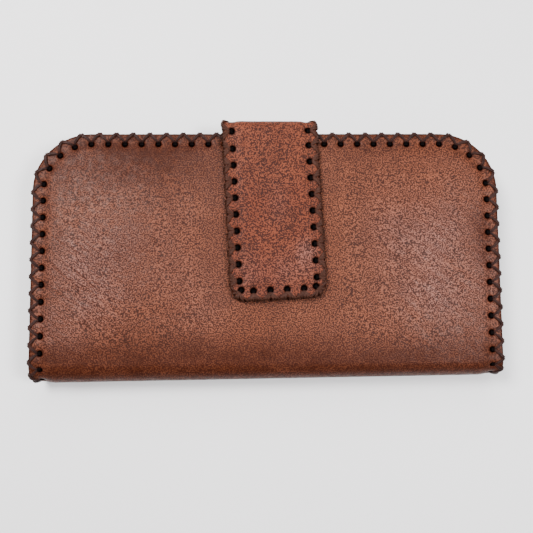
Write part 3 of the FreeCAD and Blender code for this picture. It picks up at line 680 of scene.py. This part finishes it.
THREAD_BROWN = waxed_thread("sewing thread", (0.16, 0.10, 0.06), (0.07, 0.04, 0.022),
                            (0.24, 0.16, 0.10))
NICKEL = metal("nickel snap", (0.66, 0.63, 0.58), (0.40, 0.37, 0.33), 1.0, 0.20, 0.40)
FERRITE = metal("ferrite magnet", (0.060, 0.058, 0.060), (0.030, 0.029, 0.031), 0.2, 0.55, 0.80)

# ---- covers


def strap_local(x, y):
    """A point of the case in the strap's own directions: across it, and from the opening edge."""
    point = Matrix.Rotation(-STRAP_LEAN, 2) @ Vector((x - STRAP_OFFSET, y - EDGE_Y))
    return point.x, point.y


def cover_y(s):
    return FOLD_Y + max(0.0, s - QUARTER)


DIMPLE = 1.1 * MM  # reach of the dimple that the lace pulls round a hole
PUNCH_ROUND = 0.22 * MM  # rounding of the punched edge


def dimple(holes, x, s, depth):
    gap = hole_gap(holes, x, s)
    if gap > HOLE_REACH:
        return 0.0
    beyond = max(0.0, gap - HOLE_R)
    return (depth * math.exp(-(beyond / DIMPLE) ** 2)
            + PUNCH_ROUND * math.exp(-(beyond / PUNCH_ROUND) ** 2))


def pillow(x, s):
    """How far the filled case swells beside the strap, 0 to 1."""
    side = fade(21, 52, abs(x - STRAP_OFFSET))
    side *= 1 - 0.25 * fade(66, 84, abs(x))
    rise = smooth(QUARTER, QUARTER + 26 * MM, s) * fade(9, 34, COVER_SEAM.edge(x, s))
    return side * rise


def creases(x, s):
    """Slanting pull marks towards the right side and softer ones at the left."""
    slant = noise.noise(Vector(((x + 0.9 * s) * 210, (s - 0.9 * x) * 26, 4.0)))
    return slant * (0.35 + 0.65 * fade(35, 62, x))


def front_top(x, s):
    edge = COVER_SEAM.edge(x, s)
    skive = BORDER_SKIVE * (1 - fade(3.6, 8.6, edge))
    calm = fade(0, 14, s)
    uneven = 0.16 * ripple(x, s, 48, 1.7) + 0.09 * ripple(x, s, 130, 5.2)
    swell = 0.85 * pillow(x, s) * (1 + 0.35 * ripple(x, s, 30, 9.1))
    swell += 0.34 * creases(x, s) * pillow(x, s)
    return (skive + rounded(edge, 0.55 * MM) + dimple(COVER_HOLES, x, s, 0.24 * MM)
            - (swell + 0.8 * uneven * calm) * MM * fade(2, 10, edge))


def back_top(x, s):
    edge = COVER_SEAM.edge(x, s)
    across, along = strap_local(x, cover_y(s))
    tail = fade(26, 20, abs(across)) * fade(-28, -20, along)
    skive = (BORDER_SKIVE - 0.4 * MM * tail) * (1 - fade(3.6, 8.6, edge))
    uneven = 0.12 * (1 + ripple(x, s, 55, 3.3)) * fade(0, 14, s) * MM
    return (skive + rounded(edge, 0.5 * MM) * (1 - 0.6 * tail) + dimple(COVER_HOLES, x, s, 0.2 * MM)
            + uneven * (1 - 0.7 * tail))


def glue_line(x, s):
    """Depth at which the cover leather and its lining meet."""
    return LEATHER


def tail_bed(x, s):
    """The cover's inner face, with the bed that the strap's tail is glued in."""
    across, along = strap_local(x, cover_y(s))
    bed = fade(20.6, 19.0, abs(across))
    bed *= smooth(-TAIL_LENGTH - 2 * MM, -TAIL_LENGTH, along)
    return LEATHER - (LEATHER - TAIL_FACE) * bed


def lining_back(x, s):
    uneven = 0.08 * MM * (1 + ripple(x, s, 90, 7.7)) * fade(0, 10, s)
    edge = COVER_SEAM.edge(x, s)
    return SHELL - rounded(edge, 0.3 * MM) - uneven - dimple(COVER_HOLES, x, s, 0.1 * MM)


# Spots in millimetres: centre across, centre from the middle of the fold or of the strap, half
# sizes and strength.
# Painted sheen: pale pinkish highlights on the front cover where the lamps reflect.
SHEEN_SPOTS = [(-70, 44, 15, 19, 0.85), (-54, 56, 26, 26, 0.40), (-84, 26, 10, 9, 0.55),
                (-30, 36, 14, 14, 0.3), (66, 44, 20, 19, 0.9), (52, 66, 18, 16, 0.4),
                (74, 56, 16, 30, 0.5)]
# Dark patches: partly burnish near the edges, partly painted shade beside the strap and across the
# upper left.
DARK_SPOTS = [(85, 62, 6, 13, 0.42), (70, 72, 12, 5, 0.16), (-20, 60, 6, 30, 0.20),
              (25, 50, 5, 34, 0.22), (-50, 92, 42, 15, 0.58), (-50, 56, 32, 30, 0.36),
              (55, 97, 30, 7, 0.16), (-84, 30, 6, 16, 0.18)]
# Strap patches: partly scuffs, partly painted sheen.
STRAP_SHEEN_AND_SCUFF_SPOTS = [(12, 60, 3.5, 6, 1.0), (4, 66, 9, 6, 0.55), (-11, 66, 5, 7, 0.45), (1, 40, 4, 9, 0.25)]


def spots(chosen, x, s):
    """Strength at (x, s) of soft-edged spots."""
    total = 0.0
    for across, along, wide, high, share in chosen:
        away = ((x - across * MM) / (wide * MM)) ** 2 + ((s - along * MM) / (high * MM)) ** 2
        total += share * math.exp(-away)
    return min(1.0, total)


def burnt_hole(holes, x, s):
    return 0.9 * (1 - smooth(HOLE_R + 0.1 * MM, HOLE_R + 0.8 * MM, hole_gap(holes, x, s)))


def cover_burnish_and_shade(x, s):
    """Burnish on the cut edge and round the holes; painted shade in a band where the cover turns into
    the fold; a darker border and dark spots, partly burnish and partly painted shade.
    """
    edge = COVER_SEAM.edge(x, s)
    rim = 1 - fade(0.2, 1.5, edge)
    hole = burnt_hole(COVER_HOLES, x, s)
    wander = 1.6 * MM * ripple(x, s, 40, 2.2) + 0.8 * MM * ripple(x, s, 260, 4.4)
    # Painted shade: the dark band where the cover curves into the fold.
    band = smooth(QUARTER + 20 * MM, QUARTER + 1 * MM, s + wander)
    band *= smooth(-6 * MM, QUARTER - 3 * MM, s)
    fold = (0.62 + 0.06 * ripple(x, s, 90, 8.8)) * band
    # Darker towards the edge: partly burnish, partly painted shade.
    border = 0.16 * (1 - fade(4, 12, edge + wander))
    border += 0.14 * (1 - fade(5, 34, edge))
    return min(1.0, max(rim, hole, fold, border + 0.8 * spots(DARK_SPOTS, x, s)))


# Painted sheen on the front cover.
def cover_sheen(x, s):
    return spots(SHEEN_SPOTS, x, s)


# Strap scuffs and painted sheen.
def strap_sheen_and_scuff(x, s):
    return spots(STRAP_SHEEN_AND_SCUFF_SPOTS, x, s)


FIRST_ROW = 0.05 * MM  # a half sheet's first row of mesh points, at its open edge
columns = steps(-WIDTH / 2, WIDTH / 2, 2.2 * MM)
rows = [FIRST_ROW] + steps(0.65 * MM, QUARTER + 3 * MM, 0.75 * MM) + steps(
    QUARTER + 4.6 * MM, REACH, 2.0 * MM)
COVER_FLAT = flat_sheet(COVER_SEAM, COVER_HOLES, columns, rows)
LINING_FLAT = flat_sheet(COVER_SEAM, COVER_HOLES, columns, rows, LACE_HOLE_R)


def stands_for(piece, slot, *nodes):
    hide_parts(*nodes)


def on_front(piece, slot, *nodes):
    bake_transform(piece)
    stands_for(piece, slot, *nodes)


def on_back(piece, slot, *nodes):
    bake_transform(piece)
    stands_for(piece, slot, *nodes)


def lining_hole_shade(holes):
    """For a lining's hidden side: painted shade, black where it shows at the bottom of a hole."""
    def wear_and_shade(x, s):
        return 2.0 if hole_gap(holes, x, s) < HOLE_R + 0.3 * MM else 0.6
    return wear_and_shade


COVERS = (("front", False, on_front, front_point, front_top, glue_line, cover_sheen),
          ("back", True, on_back, back_point, back_top, tail_bed, None))
for side, turned, place, point, top, bed, sheen_and_scuff in COVERS:
    place(leather_piece(side + "_leather_skin", COVER_FLAT, point, top, bed, COVER_BROWN, turned,
                        cover_burnish_and_shade, sheen_and_scuff), "cover_leather", side + "_cover_leather", "spine_leather")
for side, turned, place, point, *_ in COVERS:
    place(leather_piece(side + "_lining_skin", LINING_FLAT, point, glue_line, lining_back,
                        LINING_BROWN, turned, lining_hole_shade(COVER_HOLES)),
          "lining_leather", side + "_lining", "spine_lining")

# ---- strap


def strap_front(seam, holes, side):
    def top(x, s):
        edge = seam.edge(x, s)
        along = side * s
        border = 0.12 * MM * (1 - fade(4.5, 7, edge))
        uneven = (0.10 * ripple(x, along, 70, 6.1) + 0.05 * ripple(x, along, 190, 2.9)) * MM
        return (border + rounded(edge, 0.5 * MM) + dimple(holes, x, s, 0.22 * MM)
                + uneven * fade(1, 5, edge))
    return top


def strap_back(seam, holes):
    def bottom(x, s):
        edge = seam.edge(x, s)
        skive = STRAP_SKIVE * (1 - fade(1, 7.2, edge))
        return STRAP_SHELL - skive - rounded(edge, 0.3 * MM) - dimple(holes, x, s, 0.1 * MM)
    return bottom


def strap_wear(seam, holes):
    def wear_and_shade(x, s):
        edge = seam.edge(x, s)
        rim = 1 - fade(0.2, 1.4, edge)
        hole = burnt_hole(holes, x, s)
        return max(rim, hole, 0.12 * (1 - fade(4, 8, edge)))
    return wear_and_shade


def strap_layer(x, s):
    return STRAP_OUTER


def tail_back(x, s):
    """The strap's outer layer thins from its full thickness to the tail's in the lower bend."""
    return STRAP_OUTER - TAIL_THIN * smooth(LOWER_BEND - 3 * MM, LOWER_BEND, s)


def on_strap(piece, upper, slot, *nodes):
    if upper:
        strap_point(0, FLAP + STRAP_QUARTER, 0)
        strap_point(0, FLAP, 0)
        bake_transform(piece)
    else:
        bend_low = FLAP + STRAP_QUARTER + RISER
        strap_point(0, bend_low + STRAP_QUARTER, 0)
        strap_point(0, bend_low, 0)
        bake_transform(piece)
    stands_for(piece, slot, *nodes)


strap_columns = steps(-STRAP_WIDTH / 2, STRAP_WIDTH / 2, 1.5 * MM)
bend_rows = [FIRST_ROW] + steps(0.5 * MM, STRAP_MIDDLE - FLAP + 2 * MM, 0.5 * MM)
upper_rows = bend_rows + steps(STRAP_MIDDLE - FLAP + 3.2 * MM, STRAP_MIDDLE, 1.5 * MM)
STRAP_FLAT = flat_sheet(STRAP_SEAM, STRAP_HOLES, strap_columns, upper_rows)
STRAP_LINING_FLAT = flat_sheet(STRAP_SEAM, STRAP_HOLES, strap_columns, upper_rows, LACE_HOLE_R)
lower_rows = [FIRST_ROW] + steps(0.5 * MM, LOWER_BEND + 2 * MM, 0.5 * MM)
LOWER_FLAT = flat_sheet(LOWER_SEAM, LOWER_HOLES, strap_columns,
                        lower_rows + steps(LOWER_BEND + 3 * MM, LOWER_REACH, 1.6 * MM))
LOWER_LINING_SEAM = Seam(STRAP_WIDTH, LOWER_BEND + 0.6 * MM, 0.3 * MM, STRAP_INSET)
LOWER_LINING_FLAT = flat_sheet(LOWER_LINING_SEAM, LOWER_HOLES, strap_columns, lower_rows, LACE_HOLE_R)

upper_top = strap_front(STRAP_SEAM, STRAP_HOLES, -1)
upper_bottom = strap_back(STRAP_SEAM, STRAP_HOLES)
lower_top = strap_front(LOWER_SEAM, LOWER_HOLES, 1)
lower_bottom = strap_back(LOWER_SEAM, LOWER_HOLES)
for name, flat, point, top, bottom, material, turned, wear_and_shade, sheen_and_scuff, *nodes in (
        ("strap_leather_upper", STRAP_FLAT, strap_upper, upper_top, strap_layer, STRAP_BROWN, False,
         strap_wear(STRAP_SEAM, STRAP_HOLES), strap_sheen_and_scuff, "strap_flap_leather", "strap_riser_leather"),
        ("strap_leather_lower", LOWER_FLAT, strap_lower, lower_top, tail_back, STRAP_BROWN, True,
         strap_wear(LOWER_SEAM, LOWER_HOLES), None, "strap_riser_leather", "strap_tail"),
        ("strap_lining_upper", STRAP_LINING_FLAT, strap_upper, strap_layer, upper_bottom, LINING_BROWN,
         False, lining_hole_shade(STRAP_HOLES), None, "strap_flap_lining", "strap_riser_lining"),
        ("strap_lining_lower", LOWER_LINING_FLAT, strap_lower, tail_back, lower_bottom, LINING_BROWN,
         True, lining_hole_shade(LOWER_HOLES), None, "strap_riser_lining")):
    on_strap(leather_piece(name, flat, point, top, bottom, material, turned, wear_and_shade, sheen_and_scuff), not turned,
             "strap_leather" if material is STRAP_BROWN else "lining_leather", *nodes)

# ---- lacing

LACE = (0.42 * MM, 0.84 * MM, (-0.38 * MM, 0.38 * MM))  # thickness, ply width, plies
STRAP_LACE = (0.34 * MM, 0.70 * MM, (-2.3 * MM, -1.2 * MM, -0.1 * MM))
STRAP_FAN = 1.1  # a strand's width at the edge, as a share of its ply's
LAST_REACH = 1.9 * MM  # from the lowest hole along the edge, to its last strand


def under_strap(t):
    x, s = COVER_SEAM.place(t, 0)
    return s > REACH - INSET - 0.5 * MM and abs(x - STRAP_OFFSET) < STRAP_WIDTH / 2 + 1.5 * MM


front_lace = Lace(COVER_SEAM, front_point, front_top, lining_back, *LACE)
lace_up(front_lace, COVER_STOPS, 2 * COVER_SEAM.length, 1.0)
on_front(front_lace.piece("front_lace", LACE_BROWN), "lace", "lacing_front", "lacing_spine")
back_lace = Lace(COVER_SEAM, back_point, back_top, lining_back, *LACE)
lace_up(back_lace, COVER_STOPS, 2 * COVER_SEAM.length, 1.0, under_strap, LACE_OVER)
on_back(back_lace.piece("back_lace", LACE_BROWN), "lace", "lacing_back", "lacing_spine")
upper_lace = Lace(STRAP_SEAM, strap_upper, upper_top, upper_bottom, *STRAP_LACE)
lace_up(upper_lace, STRAP_STOPS, 2 * STRAP_SEAM.length, STRAP_FAN)
on_strap(upper_lace.piece("strap_lace_upper", STRAP_LACE_BROWN), True, "lace", "lacing_strap_flap",
         "lacing_strap_riser")
lower_lace = Lace(LOWER_SEAM, strap_lower, lower_top, lower_bottom, *STRAP_LACE)
for start, turn in ((0.0, 1), (2 * LOWER_SEAM.length, -1)):
    stops = [start + turn * t for t in LOWER_STOPS]
    lower_lace.half_stitch(stops[0], start, STRAP_FAN, LACE_OVER)
    lower_lace.cross_stitch(stops[0], stops[1], STRAP_FAN)
    last = stops[1] + turn * LAST_REACH
    outer, inner = (lower_lace.leg(stops[1], last, 0.0, inner, 1.0) for inner in (False, True))
    lower_lace.strand(outer + [lower_lace.crossing(last, 0.0, 1.0)] + inner)
on_strap(lower_lace.piece("strap_lace_lower", STRAP_LACE_BROWN), False, "lace", "lacing_strap_riser")

# ---- pockets


pocket_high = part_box("phone_pocket_front")[1]
POCKET_HALF = pocket_high.x
POCKET_TOP = pocket_high.y
POCKET_MARGIN = 1.0 * MM
POCKET_CORNER = CORNER - BORDER - POCKET_MARGIN
THUMB_RADIUS = 13.0 * MM
POCKET_LEATHER = 0.9 * MM
CARD_LEATHER = 0.38 * MM
GRID = 2.6 * MM  # between a pocket sheet's inner mesh points


def clipped(y):
    """Half width at y of a sheet whose two corners at the mouth are round."""
    rise = y - (POCKET_TOP - POCKET_CORNER)
    if rise <= 0:
        return POCKET_HALF
    return POCKET_HALF - POCKET_CORNER + math.sqrt(max(0.0, POCKET_CORNER ** 2 - rise * rise))


def pocket_outline(left, right, low, mouth, notch=0.0, size=1.3 * MM):
    """Outline of a pocket sheet, anticlockwise from its lower left corner."""
    chain = [(x, low) for x in steps(left, right, size)]
    rise = steps(low, mouth, size)[1:]
    chain += [(min(right, clipped(y)), y) for y in rise]
    end = chain[-1][0]
    start = max(left, -clipped(mouth))
    if notch:
        chain += [(x, mouth) for x in steps(end, notch, size)[1:]]
        arc = steps(0, -math.pi, size / notch)
        chain += [(notch * math.cos(a), mouth + notch * math.sin(a)) for a in arc[1:]]
        end = -notch
    chain += [(x, mouth) for x in steps(end, start, size)[1:]]
    return chain + [(max(left, -clipped(y)), y) for y in reversed(rise[:-1])]


class Outline:
    """An outline that knows how far a point lies inside it."""

    def __init__(self, chain):
        self.chain = chain
        self.sides = list(zip(chain, chain[1:] + chain[:1]))

    def edge(self, x, y):
        best = 1.0
        for (ax, ay), (bx, by) in self.sides:
            dx, dy = bx - ax, by - ay
            span = dx * dx + dy * dy or 1e-12
            f = min(1.0, max(0.0, ((x - ax) * dx + (y - ay) * dy) / span))
            best = min(best, math.hypot(x - ax - f * dx, y - ay - f * dy))
        return best

    def holds(self, x, y):
        inside = False
        for (ax, ay), (bx, by) in self.sides:
            if (ay > y) != (by > y) and x < ax + (y - ay) * (bx - ax) / (by - ay):
                inside = not inside
        return inside


def pocket_sheet(name, outline, low, high, swell, material, glued=0.0):
    """A pocket sheet from z = low to high; swell lifts its face, glued thickens its seam."""
    chain = outline.chain
    points = [Vector(place) for place in chain]
    edges = [(i, (i + 1) % len(chain)) for i in range(len(chain))]
    xs, ys = zip(*chain)
    left, right, foot, mouth = min(xs), max(xs), min(ys), max(ys)
    for x in steps(left, right, GRID):
        for y in steps(foot, mouth, GRID):
            if outline.holds(x, y) and outline.edge(x, y) > 1.1 * MM:
                points.append(Vector((x, y)))
    for (ax, ay), (bx, by) in outline.sides:
        span = math.hypot(bx - ax, by - ay)
        for inside in (0.12, 0.38, 0.8):
            x = (ax + bx) / 2 - (by - ay) / span * inside * MM
            y = (ay + by) / 2 + (bx - ax) / span * inside * MM
            if outline.holds(x, y) and outline.edge(x, y) > 0.8 * inside * MM:
                points.append(Vector((x, y)))
    coords, _, faces, _, _, _ = delaunay_2d_cdt(points, edges, [], 1, WELD)
    depths = [outline.edge(c.x, c.y) for c in coords]
    round_off = [rounded(edge, min(0.35 * MM, (high - low) / 2.2)) for edge in depths]
    lift = [swell * fade(4, 22, edge) * (0.7 + 0.5 * ripple(c.x, c.y, 45, high * 900))
            for c, edge in zip(coords, depths)]
    seam = [glued * (1 - fade(1.2, 2.4, min(c.x - left, right - c.x, c.y - foot)))
            for c in coords]
    count = len(coords)
    verts = [(c.x, c.y, low + r + d) for c, r, d in zip(coords, round_off, lift)]
    verts += [(c.x, c.y, high - r + d + g) for c, r, d, g in zip(coords, round_off, lift, seam)]
    polys = [tuple(reversed(face)) for face in faces]
    polys += [tuple(i + count for i in face) for face in faces]
    polys += [(a, b, b + count, a + count) for a, b in open_edges(faces)]
    piece = new_object(name, verts, polys, material)
    shade = [max(1 - fade(0.2, 1.6, edge), 0.4 * (1 - fade(0, 5, mouth - c.y)))
             for c, edge in zip(coords, depths)]
    return paint(piece, "wear_and_shade", shade + shade)


STITCH = 2.0 * MM  # one sewn stitch
STITCH_GAP = 1.1 * MM
RINGS = 7  # mesh rings along a stitch
ROUND = 6  # points in a ring


def stitches(name, route, face, up):
    """A row of sewn stitches on a sheet's face at height face; up is +1 or -1."""
    verts, faces = [], []
    for (ax, ay), (bx, by) in zip(route, route[1:]):
        span = math.hypot(bx - ax, by - ay)
        count = max(1, int(span / (STITCH + STITCH_GAP)))
        along = Vector(((bx - ax) / span, (by - ay) / span, 0))
        across = Vector((-along.y, along.x, 0))
        pitch = span / count
        for k in range(count):
            middle = Vector((ax, ay, 0)) + along * (pitch * (k + 0.5))
            first = len(verts)
            for i in range(RINGS):
                f = i / (RINGS - 1) * 2 - 1
                height = face + up * (0.16 * MM * (1 - f * f) - 0.06 * MM)
                for j in range(ROUND):
                    angle = 2 * math.pi * j / ROUND
                    swell = 0.19 * MM * (1 - 0.3 * f * f)
                    spot = middle + along * (f * STITCH / 2) + across * (swell * math.cos(angle))
                    verts.append((spot.x, spot.y, height + 0.8 * swell * math.sin(angle)))
            faces += swept(first, len(verts), ROUND)
    return new_object(name, verts, faces, THREAD_BROWN)


def fixed(piece, body, slot, *nodes):
    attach(piece, body)
    if nodes:
        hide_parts(*nodes)


def inside_slot(node, name, body, swell, sheet, notch=0.0):
    low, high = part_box(node)
    outline = Outline(pocket_outline(low.x, high.x, low.y, high.y, notch))
    glued = (high.z - low.z) - sheet
    piece = pocket_sheet(name, outline, low.z, low.z + sheet, swell, POCKET_BROWN, glued)
    fixed(piece, body, "pocket_leather", node)


inside_slot("phone_pocket_front", "phone_pocket_face", "back_cover", 0.15 * MM, POCKET_LEATHER,
            THUMB_RADIUS)
inside_slot("note_pocket_panel", "note_pocket_sheet", "front_cover", 0.0, CARD_LEATHER)
for tier in ("upper", "middle", "lower"):
    inside_slot("card_slot_" + tier, "card_sheet_" + tier, "front_cover", 0.0, CARD_LEATHER)
inside_slot("slip_pocket_panel", "slip_pocket_sheet", "front_cover", 0.0, CARD_LEATHER)

gusset_low, gusset_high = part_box("phone_pocket_gusset")
GUSSET_INNER = 82.4 * MM
GUSSET_LOW = gusset_low.y + 2.4 * MM
GUSSET_CORNER = 3.0 * MM


def gusset_band():
    """The leather band round the phone pocket: a wall that bows a little, with its glued foot."""
    top = gusset_high.z
    base = gusset_low.z
    wall = [(0, 0), (-0.10, 1.5), (-0.22, 3.0), (-0.26, 4.4), (-0.18, 6.0)]
    outer = [(1.02, 6.0), (0.94, 4.4), (1.0, 3.0), (1.1, 1.7), (1.35, 1.0), (1.9, 0.78), (3.3, 0.74),
             (3.55, 0.4), (3.5, 0)]
    section = [(o * MM, base + z * MM) for o, z in wall] + [(0.0, top), (1.2 * MM, top)]
    section += [(o * MM, base + z * MM) for o, z in outer]
    end = gusset_high.y - 1 * MM
    route = [(GUSSET_INNER, y, 1.0, 0.0) for y in steps(end, GUSSET_LOW + GUSSET_CORNER, 2 * MM)]
    for a in steps(0, -math.pi / 2, 0.2)[1:]:
        nx, ny = math.cos(a), math.sin(a)
        route.append((GUSSET_INNER - GUSSET_CORNER + GUSSET_CORNER * nx,
                      GUSSET_LOW + GUSSET_CORNER + GUSSET_CORNER * ny, nx, ny))
    route += [(x, GUSSET_LOW, 0.0, -1.0) for x in steps(GUSSET_INNER - GUSSET_CORNER, 0, 2.2 * MM)[1:]]
    route += [(-x, y, -nx, ny) for x, y, nx, ny in reversed(route[:-1])]
    verts = []
    for k, (x, y, nx, ny) in enumerate(route):
        wave = 0.10 * MM * math.sin(k * 1.7) * math.sin(k * 0.37)
        for o, z in section:
            out = o + wave * smooth(base, base + 2 * MM, z) * smooth(top, top - 2 * MM, z)
            verts.append((x + nx * out, y + ny * out, z))
    faces = swept(0, len(verts), len(section))
    piece = new_object("phone_pocket_band", verts, faces, POCKET_BROWN)
    return paint(piece, "wear_and_shade", [0.25] * len(verts))


fixed(gusset_band(), "back_cover", "pocket_leather", "phone_pocket_gusset")


def sewn_round(node, near, from_mouth):
    """Route of a seam along the two sides and the foot of a pocket."""
    low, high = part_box(node)
    left, right, foot, upper = low.x + near, high.x - near, low.y + near, high.y - from_mouth
    return [(left, upper), (left, foot), (right, foot), (right, upper)]


route = sewn_round("phone_pocket_front", 2 * MM, POCKET_CORNER + 1 * MM)
fixed(stitches("phone_pocket_thread", route, pocket_high.z, 1), "back_cover", "lace")
for node in ("card_slot_lower", "slip_pocket_panel"):
    route = sewn_round(node, 0.75 * MM, 1 * MM)
    fixed(stitches(node + "_thread", route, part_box(node)[0].z, -1), "front_cover", "lace")

for node in ("snap_socket", "snap_socket_washer", "snap_stud", "snap_stud_washer", "snap_magnet"):
    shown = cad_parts[node]
    shown.data.materials.clear()
    shown.data.materials.append(FERRITE if node == "snap_magnet" else NICKEL)

# ---- table, light and camera


def plain(name, colour, rough):
    shade = Shade(name)
    tint = shade.reach(shade.noise(9, 4, 0.5), 0.3, 0.7)
    shaded = shade.mix(tint, colour, tuple(0.985 * part for part in colour))
    return shade.finish(shaded, rough, shade.bump(shade.noise(700, 3), 0.02, 0.0001))


bpy.ops.mesh.primitive_plane_add(size=3.0, location=(0, 0, -0.0004))
table = bpy.context.object
table.name = "table"
table.data.materials.append(plain("pale table", (0.80, 0.79, 0.80), 0.6))


def area_light(name, place, target, size, power, colour=(1.0, 1.0, 1.0)):
    light = bpy.data.lights.new(name, "AREA")
    light.shape = "DISK"
    light.size = size
    light.energy = power
    light.color = colour
    lamp = bpy.data.objects.new(name, light)
    lamp.location = place
    lamp.rotation_euler = (Vector(target) - Vector(place)).to_track_quat("-Z", "Y").to_euler()
    bpy.context.scene.collection.objects.link(lamp)


area_light("key light", (-0.30, 0.22, 0.60), (-0.03, 0, 0), 0.26, 9.0, (1.0, 0.99, 0.98))
area_light("side light", (0.36, -0.04, 0.58), (0.03, 0, 0), 0.22, 5.7, (0.99, 0.99, 1.0))
area_light("broad light", (0.0, 0.65, 0.55), (0, 0, 0), 0.60, 4.6)

world = bpy.data.worlds.new("studio")
world.use_nodes = True
background = world.node_tree.nodes["Background"]
background.inputs["Color"].default_value = (1.0, 1.0, 1.0, 1.0)
background.inputs["Strength"].default_value = 0.5
bpy.context.scene.world = world

lens = bpy.data.cameras.new("camera")
lens.sensor_width = 36.0
lens.lens = 40.53
lens.clip_start = 0.01
camera = bpy.data.objects.new("camera", lens)
camera.location = (-0.0062, -0.0271, 0.2523)
camera.rotation_euler = Euler((math.radians(4.86), math.radians(-1.37), math.radians(-0.46)))
bpy.context.scene.collection.objects.link(camera)
bpy.context.scene.camera = camera
